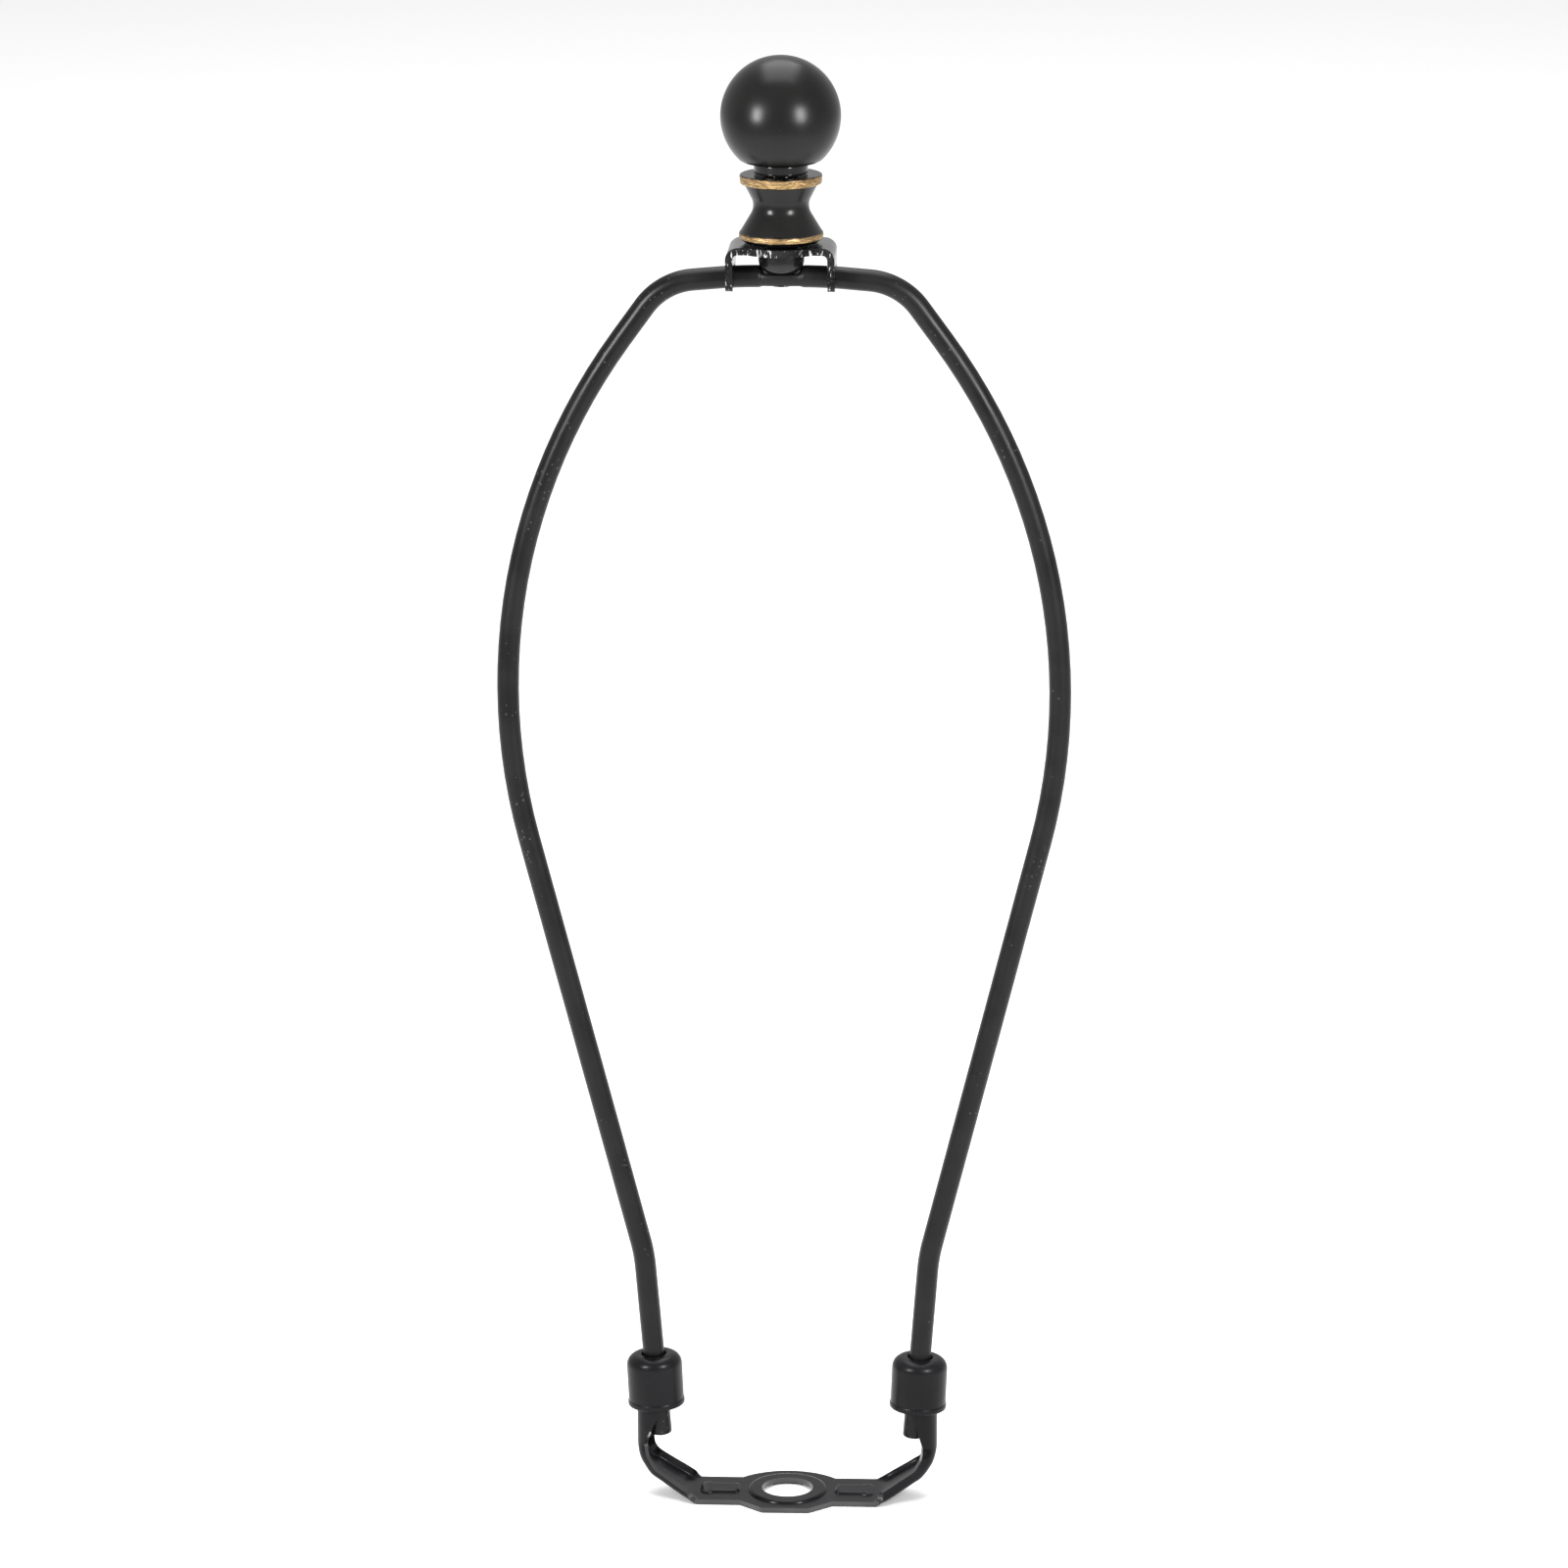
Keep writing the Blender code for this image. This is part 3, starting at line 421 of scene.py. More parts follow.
def eyeEdges(x):
    # front and back edge of the strip round the eye: straight cuts in front, an arc behind
    x = abs(x)
    half, flat, strip, eye = (saddle[k] for k in ("eyeHalf", "eyeFlat", "stripHalf", "eyeDepth"))
    front = np.where(x <= flat, eye, strip + (eye - strip) * (half - x) / (half - flat))
    rise = eye - strip
    radius = (half**2 + rise**2) / (2 * rise)
    return front, strip + np.sqrt(radius**2 - x**2) - (radius - rise)


def eyePatch(side, edges, halfLength, hole, circles, cells, level):
    # ring of quads from the hole to the outline of the flat middle: circles near the hole, then
    # each point moves straight to the outline
    x = halfLength * np.cos(np.linspace(0, math.pi, cells + 1))
    front, back = edges(x)
    right = np.stack([np.full(len(side), halfLength), side], 1)
    left = right[::-1] * (-1, 1)
    rim = np.concatenate([right[:-1], np.stack([x, back], 1)[:-1],
                          left[:-1], np.stack([-x, -front], 1)])
    angle = np.arctan2(rim[:, 1], rim[:, 0])
    rays = np.stack([np.cos(angle), np.sin(angle)], 1)
    inner = circles[:, None, None] * rays[None]
    last = circles[-1] * rays
    t = np.linspace(0, 1, 13)[1:, None, None]
    flat = np.concatenate([inner, last * (1 - t) + rim * t])
    z = level(flat[..., 0], flat[..., 1])
    return np.concatenate([flat, z[..., None]], -1), flat / mm


def armRows(tallSide):
    # middle surface of the saddle from the eye to the top of the arm at +X: half sections are
    # mixed between the keys below, then set square to the strip's bent middle line
    flat = saddle["flatHalf"]
    level = saddle["sheet"] / 2
    corner = (saddle["channelX"], level + (saddle["channelX"] - flat) * math.tan(saddle["slope"]))
    line = roundedLine([(0, level), (flat, level), corner, (saddle["channelX"], saddle["armTop"])],
                       [saddle["flatBend"], saddle["elbow"]], 16)
    lengths = lineLength(line)
    half = saddle["slope"] / 2
    elbowHalf = (math.pi / 2 - saddle["slope"]) / 2
    flatEnd = lengths[1]
    bendEnd = flatEnd + saddle["flatBend"] * 2 * half
    elbowEnd = lengths[-2]
    elbowStart = elbowEnd - saddle["elbow"] * 2 * elbowHalf
    top = lengths[-1]
    lip = top - (saddle["armTop"] - saddle["lipLevel"])
    middle = elbowStart + (elbowEnd - elbowStart) * 0.45
    tip = saddle["corner"]
    floor = saddle["stripHalf"] - saddle["shortEdge"] - tip
    quarter = saddle["channelRadius"] * math.pi / 2
    tall = np.array([tip, saddle["tallFold"], saddle["tallEdge"]])
    short = np.array([tip, saddle["shortFold"], saddle["shortEdge"]])
    openSide = np.array([tip, 0.0, saddle["shortEdge"]])
    shut = np.array([quarter, math.pi / 2, saddle["lipLength"]])
    lowLip = np.array([saddle["channelRadius"] * saddle["lipLow"], saddle["lipLow"],
                       saddle["lipLowEdge"]])
    highLip = np.array([saddle["channelRadius"] * saddle["tallLipLow"], saddle["tallLipLow"],
                        saddle["tallLipLowEdge"]])
    # place along the strip, half floor, then bend, fold and straight of the tall and short side
    keys = [
        (flatEnd, floor, openSide, openSide),
        (flatEnd + saddle["foldStart"], floor, openSide, openSide),
        (flatEnd + saddle["foldEnd"], 0.94 * floor, tall, short),
        (elbowStart, 0.8 * floor, tall, short),
        (middle, 0.45 * floor, tall * 0.65 + highLip * 0.35, short * 0.7 + lowLip * 0.3),
        (elbowEnd, 0.0, highLip, lowLip),
        (lip, 0.0, shut, shut),
        (top, 0.0, shut, shut),
    ]
    places = np.concatenate([np.linspace(saddle["eyeHalf"], flatEnd, 46)[:-1],
                             np.linspace(flatEnd, top, 104)])
    marks = np.array([k[0] for k in keys])
    at = np.clip(np.searchsorted(marks, places, side="right") - 1, 0, len(keys) - 2)
    share = (places - marks[at]) / (marks[at + 1] - marks[at])
    # the sides ease from key to key, but the lip's edge rises straight from the elbow
    share = np.where(at == len(keys) - 3, np.clip(share, 0, 1), smoothStep(share))

    def between(values):
        values = np.array(values)
        s = share if values.ndim == 1 else share[:, None]
        return values[at] * (1 - s) + values[at + 1] * s

    floors = between([k[1] for k in keys])
    x = np.interp(places, lengths, line[:, 0])
    z = np.interp(places, lengths, line[:, 1])
    slopes = np.interp(places, [flatEnd, bendEnd, elbowStart, elbowEnd],
                       [0, saddle["slope"], saddle["slope"], math.pi / 2])
    halves = {}
    for side, column in ((tallSide, 2), (-tallSide, 3)):
        values = between([k[column] for k in keys])
        out, up = armSection(floors, values[:, 0], values[:, 1], values[:, 2], (24, 9, 2))
        px = x[:, None] - np.sin(slopes)[:, None] * up
        pz = z[:, None] + np.cos(slopes)[:, None] * up
        halves[side] = np.stack([px, side * out, pz], -1)
    rows = np.concatenate([halves[-1][:, :0:-1], halves[1]], 1)
    flatPart = (places <= flatEnd)[:, None]
    rows[..., 2] += np.where(flatPart, embossLevel(rows[..., 0], rows[..., 1]), 0)
    across = lineLength(rows[0])[None].repeat(len(rows), 0)
    return rows, np.stack([places[:, None].repeat(rows.shape[1], 1), across], -1) / mm


def makeSaddle(material, edgeMaterial):
    # two arms, each the other turned half round, and the ring of quads round the eye's hole
    right, rightUv = armRows(-1)
    left, leftUv = armRows(1)
    left = left * (-1, 1, 1)
    side = right[0, :, 1]
    circles = np.concatenate([np.linspace(saddle["hole"], 7.15 * mm, 6),
                              np.linspace(7.25 * mm, 7.75 * mm, 7), [8.0 * mm]])

    def level(x, y):
        return saddle["sheet"] / 2 + embossLevel(x, y)

    eye = eyePatch(side, eyeEdges, saddle["eyeHalf"], saddle["hole"], circles, 64, level)
    obj = pieceFromGrids("stampedSaddle", [(right, rightUv), (left, leftUv), eye], material,
                         "saddle", ["saddle"], closed=False)
    pressedSheet(obj, saddle["sheet"], saddle["edge"], edgeMaterial)


sleeve = {
    "outer": 5.55 * mm,
    "wall": 0.8 * mm,
    "length": 10.6 * mm,
    "shoulder": 2.2 * mm,
    "hole": 2.51 * mm,
    "rim": 0.15 * mm,
    "top": 29.9 * mm,
    "lean": math.radians(2.5),
    "sides": 96,
}


def sleeveProfile():
    # drawn cup, from the hole in its end over the shoulder to the rolled rim and back inside
    outer, wall, low = sleeve["outer"], sleeve["wall"], -sleeve["length"]
    inner, hole, rim = outer - wall, sleeve["hole"], sleeve["rim"]
    corners = [(hole, -wall / 2), (hole, 0), (outer, 0), (outer, low + 1.25 * mm),
               (outer + rim, low + 0.95 * mm), (outer + rim, low), (inner, low),
               (inner, -wall), (hole, -wall), (hole, -wall / 2)]
    radii = [0.18 * mm, sleeve["shoulder"], 0.8 * mm, 0.5 * mm, 0.35 * mm, 0.15 * mm,
             sleeve["shoulder"] - wall, 0.15 * mm]
    return splitLong(roundedLine(corners, radii, 8), 0.5 * mm)


def makeSleeve(name, side, material, node):
    # the cup's profile carried round its axis, then leaned with the leg
    points, uv = turnedGrid(sleeveProfile(), sleeve["sides"])
    turn = Matrix.Rotation(side * sleeve["lean"], 3, "Y")
    points = points @ np.array(turn).T + (side * legReach(sleeve["top"]), 0, sleeve["top"])
    return pieceFromGrids(name, [(points, uv)], material, node, [node])


rest = {
    "sheet": 1.4 * mm,
    "edge": 0.3 * mm,
    "top": 255.7 * mm,
    "half": 10.45 * mm,
    "depthHalf": 6.0 * mm,
    "disc": 8.6 * mm,
    "bend": 1.7 * mm,
    "drop": 8.7 * mm,
    "bore": 3.475 * mm,
    "slot": 2.45 * mm,
    "tipRound": 1.8 * mm,
}


def restEdges(x):
    # the plate is a round disc between the ears
    disc = np.sqrt(np.clip(rest["disc"] ** 2 - x**2, 0, None))
    depth = np.maximum(disc, rest["depthHalf"])
    return depth, depth


def makeRest(material, rimMaterial):
    # plate round the bore, and on each side an ear: bent down, then forked round the wire into
    # two prongs whose inner edge follows the slot and whose outer edge rounds off at the tip
    half = rest["half"] - rest["sheet"] / 2
    level = rest["top"] - rest["sheet"] / 2
    flatEnd = half - rest["bend"]
    low = rest["top"] - rest["drop"]
    columns = 20  # cells from the middle to an edge
    side = np.linspace(-rest["depthHalf"], rest["depthHalf"], 2 * columns + 1)
    circles = np.linspace(rest["bore"], 5.0 * mm, 5)
    plate = eyePatch(side, restEdges, flatEnd, rest["bore"], circles, 56,
                     lambda x, y: np.full(x.shape, level))
    line = roundedLine([(0, level), (half, level), (half, low)], [rest["bend"]], 12)[1:]
    slotTop = wire["topLevel"] + rest["slot"]
    upper = splitLong(np.concatenate([line[:-1], [[half, slotTop]]]), 0.4 * mm)
    quarter = np.linspace(0, math.pi / 2, 12)
    below = np.concatenate([wire["topLevel"] + rest["slot"] * np.cos(quarter),
                            splitLong(np.array([[wire["topLevel"]], [low + rest["tipRound"]]]),
                                      0.4 * mm)[1:, 0],
                            low + rest["tipRound"] * (1 - np.sin(quarter[1:]))])
    inner = np.sqrt(np.clip(rest["slot"] ** 2 - np.clip(below - wire["topLevel"], 0, None) ** 2,
                            0, None))
    nearTip = np.clip(1 - (below - low) / rest["tipRound"], 0, 1)
    outer = rest["depthHalf"] - rest["tipRound"] * (1 - np.sqrt(1 - nearTip**2))
    grids = [plate]
    for way in (1, -1):
        y = side[None].repeat(len(upper), 0)
        ear = np.stack([way * upper[:, :1].repeat(len(side), 1), y,
                        upper[:, 1:].repeat(len(side), 1)], -1)
        along = lineLength(upper)[:, None].repeat(len(side), 1)
        grids.append((ear, np.stack([along, y], -1) / mm))
        t = np.linspace(0, 1, columns + 1)[None]
        y = inner[:, None] * (1 - t) + outer[:, None] * t
        z = below[:, None].repeat(columns + 1, 1)
        for front in (1, -1):
            prong = np.stack([np.full(y.shape, way * half), front * y, z], -1)
            grids.append((prong, np.stack([z, front * y], -1) / mm))
    obj = pieceFromGrids("bentRest", grids, material, "harp", ["shade_rest"],
                         closed=False)
    pressedSheet(obj, rest["sheet"], rest["edge"], rimMaterial)


stud = {
    "thread": 3.175 * mm,
    "pitch": 25.4 / 27 * mm,
    "depth": 0.5 * mm,
    "height": 8.4 * mm,
    "flange": 4.45 * mm,
    "flangeRim": 1.5 * mm,
    "bowlFoot": 2.3 * mm,
    "shank": 1.5 * mm,
    "rivet": 2.1 * mm,
    "rivetDrop": 0.25 * mm,
}


def threadWave(low, high):
    # screw thread: a rounded triangle wave that climbs one pitch a turn and fades at both ends
    def wave(angle, r, z):
        turn = (z / stud["pitch"] - angle / (2 * math.pi)) % 1.0
        cut = np.clip(abs(turn * 2 - 1) * 1.35 - 0.2, 0, 1)
        fade = smoothStep((z - low) / (0.7 * mm)) * smoothStep((high - z) / (0.45 * mm))
        onThread = (r > stud["thread"] - 0.05 * mm) & (r < stud["thread"] + 0.05 * mm)
        return -stud["depth"] * (1 - cut) * fade * onThread
    return wave


def makeStud(material):
    # one turned profile, down from the thread over flange and bowl to the riveted end
    top = rest["top"] + stud["height"]
    flangeTop = rest["top"] - rest["sheet"] - 0.3 * mm
    bowlTop = flangeTop - stud["flangeRim"]
    bowlFoot = wire["topLevel"] + wire["padTop"] + 0.1 * mm
    padLow = wire["topLevel"] - wire["padBottom"]
    thread, flange, foot = stud["thread"], stud["flange"], stud["bowlFoot"]
    upper = splitLong([(thread - 0.6 * mm, top), (thread, top - 0.6 * mm), (thread, flangeTop)],
                      0.055 * mm)
    rim = roundedLine([(thread, flangeTop), (flange, flangeTop), (flange, bowlTop),
                       (flange, bowlTop - 0.01 * mm)], [0.4 * mm, 0.0], 7)
    quarter = np.linspace(0.03, math.pi / 2, 18)
    bowl = np.stack([foot + (flange - foot) * np.cos(quarter),
                     bowlTop + (bowlFoot - bowlTop) * np.sin(quarter)], 1)
    rivet = stud["rivet"]
    lower = [(stud["shank"], bowlFoot), (stud["shank"], padLow + 0.4 * mm),
             (rivet, padLow + 0.2 * mm), (rivet, padLow - 0.05 * mm)]
    dome = np.stack([rivet * np.cos(quarter),
                     padLow - 0.05 * mm - stud["rivetDrop"] * np.sin(quarter)], 1)
    profile = np.concatenate([[(0, top)], upper, splitLong(rim[1:-1], 0.25 * mm), bowl,
                              splitLong(lower, 0.4 * mm), dome, [(0, padLow - 0.3 * mm)]])
    grid = turnedGrid(profile, 72, threadWave(flangeTop, top - 0.2 * mm))
    return pieceFromGrids("threadedStud", [grid], material, "harp", ["threaded_stud"])


finial = {
    "foot": 0.3 * mm,  # above the rest
    "height": 13.3 * mm,
    "band": 8.05 * mm, "bandHeight": 1.7 * mm, "bandTaper": 0.25 * mm,
    "spoolTop": 7.15 * mm,
    "waist": 5.25 * mm, "waistHeight": 7.2 * mm, "waistRadius": 3.2 * mm,
    "bead": 8.1 * mm, "beadLevel": 1.6 * mm, "beadHeight": 1.35 * mm,
    "footRadius": 7.0 * mm,
    "bore": 3.475 * mm,
    "collar": 5.2 * mm, "collarHeight": 2.15 * mm,
    "ball": 11.5 * mm, "ballFlat": 7.5 * mm,
    "sides": 128,
}


def baseProfile():
    # spool: bore, conical top, upper band, waist between two cones, half-round bead, foot
    low = rest["top"] + finial["foot"]
    high = rest["top"] + finial["height"]
    band, bead = finial["band"], finial["bead"]
    level = rest["top"] + finial["beadLevel"]
    end = np.array([bead - 0.24 * mm, level + finial["beadHeight"] / 2])
    top = np.array([finial["spoolTop"], high - finial["bandHeight"]])
    middle = np.array([finial["waist"], rest["top"] + finial["waistHeight"]])
    to, fro = (top - middle), (end - middle)
    turn = math.pi - math.acos(to @ fro / np.linalg.norm(to) / np.linalg.norm(fro))
    middle[0] -= finial["waistRadius"] * (1 / math.cos(turn / 2) - 1)
    spool = roundedLine([top, middle, end], [finial["waistRadius"]], 16)
    half = finial["beadHeight"] / 2
    swing = np.linspace(0, math.pi, 15)[1:-1]
    beadLine = np.stack([end[0] + 0.24 * mm * np.sin(swing), level + half * np.cos(swing)], 1)
    upper = roundedLine([(finial["bore"], high), (band - 0.1 * mm, high),
                         (band - finial["bandTaper"], high - finial["bandHeight"]), top],
                        [0.3 * mm, 0.2 * mm], 5)
    lower = roundedLine([(end[0], level - half), (finial["footRadius"], low),
                         (finial["bore"], low)], [0.25 * mm], 5)
    return np.concatenate([splitLong(upper, 0.4 * mm)[:-1], splitLong(spool, 0.4 * mm), beadLine,
                           splitLong(lower, 0.5 * mm), [(finial["bore"], high)]])


def makeFinial(baseMaterial, collarMaterial, ballMaterial):
    # spool, stud with its collar, and a ball with a flat and a bore, each turned round Z
    high = rest["top"] + finial["height"]
    sides = finial["sides"]
    pieceFromGrids("finialBase", [turnedGrid(baseProfile(), sides)], baseMaterial, "finial",
                   ["finial_base"])
    collar, spigot = finial["collar"], stud["thread"]
    seat, collarTop = high + 0.3 * mm, high + finial["collarHeight"]
    ballLow = collarTop + 0.3 * mm
    spigotTop, spigotLow = ballLow + 6.4 * mm, high - 3.4 * mm
    neck = roundedLine([(0, spigotTop), (spigot, spigotTop), (spigot, collarTop),
                        (collar, collarTop), (collar, seat), (spigot, seat),
                        (spigot, spigotLow), (0, spigotLow)],
                       [0.5 * mm, 0.1 * mm, 0.2 * mm, 0.2 * mm, 0.1 * mm, 0.5 * mm], 5)
    pieceFromGrids("joiningStud", [turnedGrid(splitLong(neck, 0.4 * mm), sides)], collarMaterial,
                   "finial_core", ["joining_stud"])
    ball, flat = finial["ball"], finial["ballFlat"]
    centre = ballLow + math.sqrt(ball**2 - flat**2)
    end = math.asin((ballLow + 0.4 * mm - centre) / ball)
    swing = np.linspace(math.pi / 2, end, 90)
    skin = np.stack([ball * np.cos(swing), centre + ball * np.sin(swing)], 1)
    skin[0, 0] = 0
    under = roundedLine([skin[-1], (flat - 0.3 * mm, ballLow), (finial["bore"], ballLow),
                         (finial["bore"], ballLow + 7 * mm), (0, ballLow + 7 * mm)],
                        [0.35 * mm, 0.1 * mm, 0.0], 5)
    line = np.concatenate([skin, splitLong(under, 0.6 * mm)[1:]])
    pieceFromGrids("finialBall", [turnedGrid(line, sides)], ballMaterial, "finial",
                   ["finial_ball"])


# paint: tone in thick and thin places, nibs' tone, roughness range, size and height in mm of the
# orange peel, share and height of the nibs, and how strongly paint and clear coat mirror
saddleLook = {
    "dark": (0.0028, 0.0028, 0.0034), "light": (0.006, 0.0057, 0.007),
    "nibColour": (0.02, 0.02, 0.022),
    "rough": (0.20, 0.34), "peelSize": 1.0, "peel": 0.035, "nibs": 0.5, "nibHeight": 0.02,
    "specular": 0.07, "coat": 0.14, "coatRough": 0.1,
}
saddleEdgeLook = dict(saddleLook, dark=(0.004, 0.004, 0.0045), light=(0.016, 0.016, 0.017),
                      peel=0.08, specular=0.3, coat=0.9)  # paint runs thin over the cut; the lighter tone there is partly that thin paint and partly a painted highlight along the edge lines
wireLook = {
    "dark": (0.003, 0.003, 0.0033), "light": (0.006, 0.006, 0.0064),
    "nibColour": (0.035, 0.035, 0.035),
    "rough": (0.30, 0.40), "peelSize": 0.8, "peel": 0.03, "nibs": 0.7, "nibHeight": 0.02,
    "specular": 0.2, "coat": 0.0, "coatRough": 0.2,
}
sleeveLook = {
    "dark": (0.003, 0.003, 0.0036), "light": (0.006, 0.0058, 0.007),
    "nibColour": (0.018, 0.018, 0.02),
    "rough": (0.29, 0.35), "peelSize": 1.0, "peel": 0.02, "nibs": 0.3, "nibHeight": 0.015,
    "specular": 0.13, "coat": 0.04, "coatRough": 0.2,
}
restLook = {
    "dark": (0.003, 0.003, 0.0034), "light": (0.0065, 0.0065, 0.007),
    "nibColour": (0.05, 0.05, 0.05),
    "rough": (0.16, 0.30), "peelSize": 1.2, "peel": 0.05, "nibs": 0.6, "nibHeight": 0.03,
    "specular": 0.17, "coat": 0.4, "coatRough": 0.1,
}
shearedLook = {
    "dark": (0.003, 0.003, 0.0034), "light": (0.012, 0.012, 0.0125),
    "nibColour": (0.10, 0.10, 0.10),
    "rough": (0.18, 0.40), "peelSize": 1.6, "peel": 0.28, "nibs": 1.0, "nibHeight": 0.05,
    "specular": 0.07, "coat": 0.15, "coatRough": 0.1,
}
studLook = {
    "dark": (0.003, 0.003, 0.0034), "light": (0.006, 0.006, 0.0064),
    "nibColour": (0.05, 0.05, 0.05),
    "rough": (0.16, 0.24), "peelSize": 1.0, "peel": 0.02, "nibs": 0.3, "nibHeight": 0.02,
    "specular": 0.17, "coat": 0.3, "coatRough": 0.1,
}
shearLook = {
    "size": 1500.0,  # noise scale per metre, so streaks about 0.7 mm wide
    "stretch": 0.3,  # along Z: smaller draws them out further
    "depth": 0.88,  # mm, for the noise's whole range from 0 to 1
    "bright": (0.42, 0.42, 0.43), "from": 0.585, "to": 0.66,  # painted highlight: light grey tone painted on the crests, where they show
}
collarLook = {
    "dark": (0.003, 0.003, 0.003), "light": (0.006, 0.0055, 0.0055),
    "nibColour": (0.2, 0.14, 0.07),
    "rough": (0.10, 0.22), "peelSize": 1.5, "peel": 0.09, "nibs": 0.3, "nibHeight": 0.02,
    "specular": 0.17, "coat": 0.6, "coatRough": 0.06,
}
ballLook = {
    "dark": (0.0035, 0.0035, 0.0035), "light": (0.0055, 0.0055, 0.0052),
    "nibColour": (0.03, 0.03, 0.03),
    "rough": (0.27, 0.33), "peelSize": 0.6, "peel": 0.011, "nibs": 0.2, "nibHeight": 0.006,
    "specular": 0.23, "coat": 0.0, "coatRough": 0.2,
}
spoolLook = dict(ballLook, rough=(0.21, 0.27), light=(0.006, 0.0056, 0.0052))
goldLook = {
    "gold": (0.32, 0.20, 0.08), "brightGold": (0.64, 0.44, 0.21), "brown": (0.035, 0.018, 0.008),
    "rough": (0.30, 0.5),
    "bands": ((-1.78, -0.1), (-12.16, -11.22)),  # mm below the top of the base
    "darkEdge": 0.42,  # the gold's upper edge stays brown, mm
    "fray": 0.56,  # how far noise moves the edges of the bands, mm
}


def shearedPaint(name):
    # rough cut edge: noise drawn out along Z gives the punch's streaks, and their crests get a
    # painted highlight, a light grey mixed into the base colour
    material = blackPaint(name, shearedLook)
    tree = material.node_tree
    shader = tree.nodes["Principled BSDF"]
    place = tree.nodes.new("ShaderNodeTexCoord").outputs["Object"]
    drawn = addNode(tree, "ShaderNodeMapping")
    drawn.inputs["Scale"].default_value = (1, 1, shearLook["stretch"])
    tree.links.new(place, drawn.inputs["Vector"])
    streaks = noise(tree, drawn.outputs[0], shearLook["size"], 2.5, 0.6)
    paintedGlintMask = ramp(tree, streaks, shearLook["from"], shearLook["to"])
    black = shader.inputs["Base Color"].links[0].from_socket
    # painted highlight: light grey on the streaks' crests, in the base colour
    tree.links.new(mixColour(tree, paintedGlintMask, black, shearLook["bright"]), shader.inputs["Base Color"])
    bump = shader.inputs["Normal"].links[0].from_node
    skin = bump.inputs["Height"].links[0].from_socket
    height = maths(tree, "MULTIPLY_ADD", streaks, shearLook["depth"], skin)
    tree.links.new(height, bump.inputs["Height"])
    return material


def spoolPaint(name):
    # black lacquer with brushed gold on the upper band and the bead: height in the piece picks
    # the bands, and streaks drawn out round the axis break their edges and their tone
    material = blackPaint(name, spoolLook)
    tree = material.node_tree
    shader = tree.nodes["Principled BSDF"]
    place = tree.nodes.new("ShaderNodeTexCoord").outputs["Object"]
    cut = tree.nodes.new("ShaderNodeSeparateXYZ")
    tree.links.new(place, cut.inputs[0])
    height = maths(tree, "MULTIPLY", maths(tree, "SUBTRACT", cut.outputs["Z"],
                                           rest["top"] + finial["height"]), 1000.0)
    around = maths(tree, "ARCTAN2", cut.outputs["Y"], cut.outputs["X"])
    brush = tree.nodes.new("ShaderNodeCombineXYZ")
    # sin and cos of the angle keep the streaks joined where the circle closes
    tree.links.new(maths(tree, "MULTIPLY", maths(tree, "COSINE", around), 3.0), brush.inputs["X"])
    tree.links.new(maths(tree, "MULTIPLY", maths(tree, "SINE", around), 3.0), brush.inputs["Y"])
    tree.links.new(maths(tree, "MULTIPLY", height, 4.0), brush.inputs["Z"])
    streaks = noise(tree, brush.outputs[0], 1.1, 4.0, 0.65)
    fine = noise(tree, brush.outputs[0], 2.6, 4.0, 0.7)
    wobble = maths(tree, "MULTIPLY", maths(tree, "SUBTRACT", noise(tree, place, 700.0, 3.0), 0.5),
                   goldLook["fray"])
    edgeHeight = maths(tree, "ADD", height, wobble)
    masks, shades = [], []
    for low, high in goldLook["bands"]:
        rise = ramp(tree, edgeHeight, low - 0.06, low + 0.06)
        fall = ramp(tree, edgeHeight, high + 0.06, high - 0.06)
        masks.append(maths(tree, "MULTIPLY", rise, fall))
        edge = ramp(tree, edgeHeight, high - goldLook["darkEdge"], high)
        shades.append(maths(tree, "MULTIPLY", edge, masks[-1]))
    mask = maths(tree, "MAXIMUM", *masks)
    shade = maths(tree, "MULTIPLY", maths(tree, "MAXIMUM", *shades), 0.8)
    gold = mixColour(tree, ramp(tree, streaks, 0.44, 0.60), goldLook["gold"],
                     goldLook["brightGold"])
    worn = maths(tree, "MULTIPLY", ramp(tree, fine, 0.58, 0.42), 0.9)
    worn = maths(tree, "MAXIMUM", worn, shade)
    gold = mixColour(tree, worn, gold, goldLook["brown"])
    black = shader.inputs["Base Color"].links[0].from_socket
    tree.links.new(mixColour(tree, mask, black, gold), shader.inputs["Base Color"])
    rough = shader.inputs["Roughness"].links[0].from_socket
    low, high = goldLook["rough"]
    goldRough = maths(tree, "MULTIPLY_ADD", fine, high - low, low)
    blend = addNode(tree, "ShaderNodeMix", data_type="FLOAT")
    for socket, value in zip((blend.inputs[0], blend.inputs[2], blend.inputs[3]),
                             (mask, rough, goldRough)):
        tree.links.new(value, socket)
    tree.links.new(blend.outputs[0], shader.inputs["Roughness"])
    metal = maths(tree, "MULTIPLY", mask, maths(tree, "SUBTRACT", 1.0, worn))
    tree.links.new(maths(tree, "MULTIPLY", metal, 0.85), shader.inputs["Metallic"])
    return material


print("making the pieces")
saddlePaint = blackPaint("saddleGlossBlack", saddleLook)
saddleEdgePaint = blackPaint("saddleCutEdge", saddleEdgeLook)
wirePaint = blackPaint("wireSatinBlack", wireLook)
sleevePaint = blackPaint("sleeveBlack", sleeveLook)
restPaint = blackPaint("restBlack", restLook)
edgePaint = shearedPaint("restShearedEdge")
studPaint = blackPaint("studBlack", studLook)
collarPaint = blackPaint("collarGlossBlack", collarLook)
ballPaint = blackPaint("ballSatinBlack", ballLook)
basePaint = spoolPaint("spoolBlackAndGold")

makeWire(wirePaint)
makeSaddle(saddlePaint, saddleEdgePaint)
makeSleeve("sleeveLeft", -1, sleevePaint, "sleeve_left")
makeSleeve("sleeveRight", 1, sleevePaint, "sleeve_right")
makeRest(restPaint, edgePaint)
makeStud(studPaint)
makeFinial(basePaint, collarPaint, ballPaint)
print("pieces made")

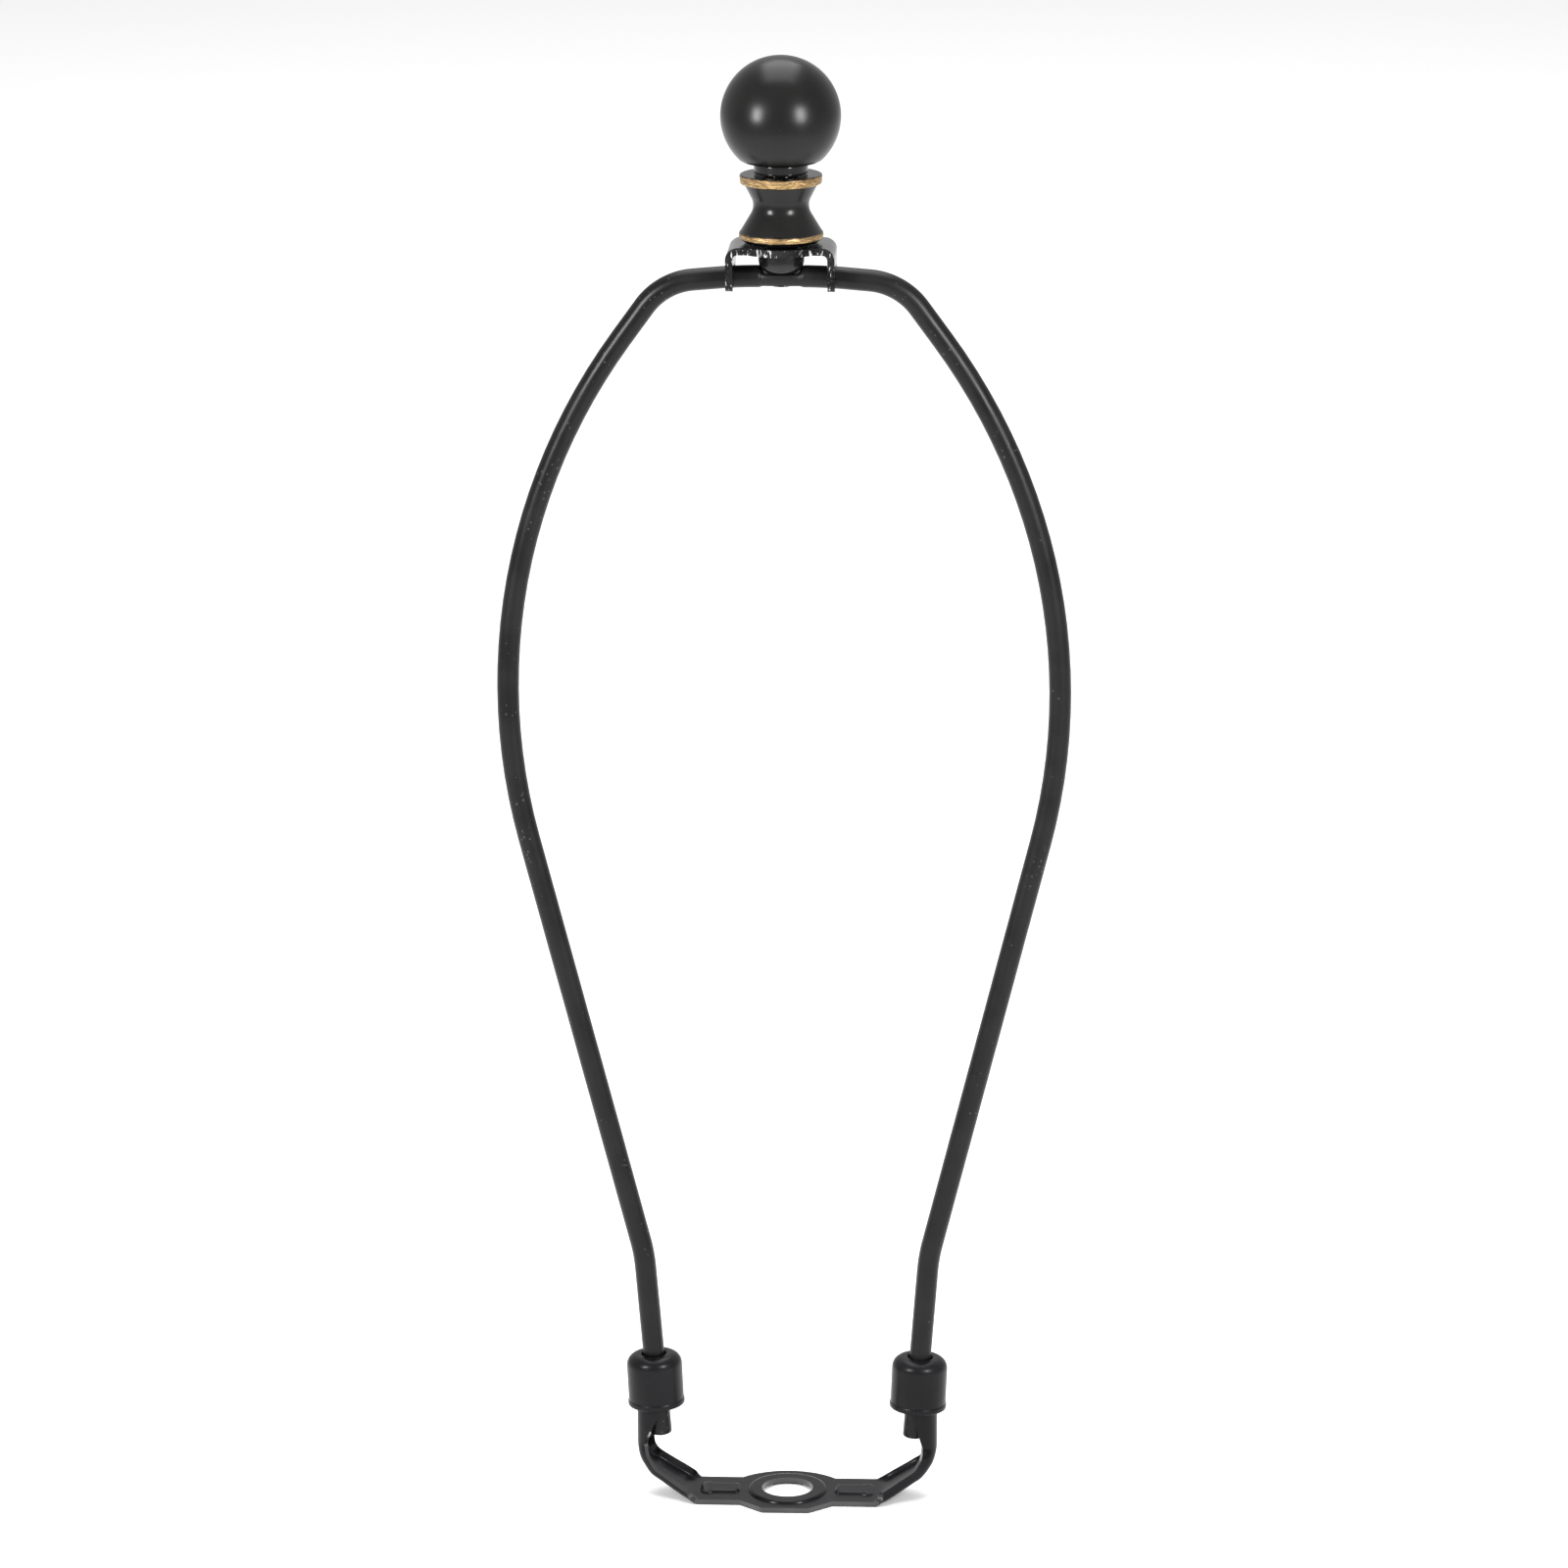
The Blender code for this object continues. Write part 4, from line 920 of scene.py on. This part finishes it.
studio = {
    "floor": 0.86,
    "world": 0.74,
    "lights": [
        # name, place, aim, width, height, watts; the side boxes stand near and so look steeply down
        # on the saddle, whose flat strip would mirror lower ones in views from behind
        ("leftBox", (-0.356, -0.384, 0.360), (0, 0, 0.28), 0.120, 0.200, 3.04),
        ("rightBox", (0.340, -0.384, 0.360), (0, 0, 0.28), 0.120, 0.200, 3.04),
        ("topBox", (-0.03, 0.6, 1.6), (-0.03, 0.6, 0.0), 1.1, 1.7, 24.0),
    ],
}


def makeFloor():
    # a level sheet of paper
    size, cells = 6.0, 8
    line = np.linspace(-size, size, cells + 1)
    x, y = np.meshgrid(line, line)
    points = np.stack([x, y, 0 * x], -1).reshape(-1, 3)
    mesh = bpy.data.meshes.new("floor")
    mesh.from_pydata(points.tolist(), [], gridFaces(cells + 1, cells + 1)[:, ::-1].tolist())
    material = bpy.data.materials.new("palePaper")
    material.use_nodes = True
    tree = material.node_tree
    shader = tree.nodes["Principled BSDF"]
    shader.inputs["Roughness"].default_value = 0.9
    shader.inputs["Specular IOR Level"].default_value = 0.1
    place = tree.nodes.new("ShaderNodeTexCoord").outputs["Object"]
    tone = studio["floor"]
    colour = mixColour(tree, noise(tree, place, 900.0, 2.0), (tone,) * 3, (tone * 1.02,) * 3)
    tree.links.new(colour, shader.inputs["Base Color"])
    mesh.materials.append(material)
    obj = bpy.data.objects.new("floor", mesh)
    bpy.context.scene.collection.objects.link(obj)


def makeLights():
    # even white surroundings, two soft boxes in front and a broad one above the paper
    world = bpy.data.worlds.new("studioWorld")
    world.use_nodes = True
    back = world.node_tree.nodes["Background"]
    back.inputs["Color"].default_value = (1, 1, 1, 1)
    back.inputs["Strength"].default_value = studio["world"]
    bpy.context.scene.world = world
    bpy.context.scene.view_settings.view_transform = "Standard"
    for name, place, aim, width, height, watts in studio["lights"]:
        data = bpy.data.lights.new(name, "AREA")
        data.shape = "RECTANGLE"
        data.size, data.size_y, data.energy = width, height, watts
        lamp = bpy.data.objects.new(name, data)
        lamp.visible_camera = False
        bpy.context.scene.collection.objects.link(lamp)
        turn = (Vector(place) - Vector(aim)).to_track_quat("Z", "Y").to_matrix().to_4x4()
        lamp.matrix_world = Matrix.Translation(place) @ turn


def makeCamera():
    # a long lens above the finial's height, pitched down, as fitted to the photograph's outline
    data = bpy.data.cameras.new("camera")
    data.lens = 148.5
    data.sensor_width = 36.0
    data.clip_end = 50.0
    obj = bpy.data.objects.new("camera", data)
    bpy.context.scene.collection.objects.link(obj)
    obj.matrix_world = (
        Matrix.Rotation(math.radians(3.1), 4, "Z")
        @ Matrix.Translation((0, -1.2186, 0.48387))
        @ Matrix.Rotation(math.radians(90 - 15.39), 4, "X")
        @ Matrix.Rotation(math.radians(-0.289), 4, "Z")
    )
    bpy.context.scene.camera = obj


makeFloor()
makeLights()
makeCamera()
print("stage, lights and camera set")
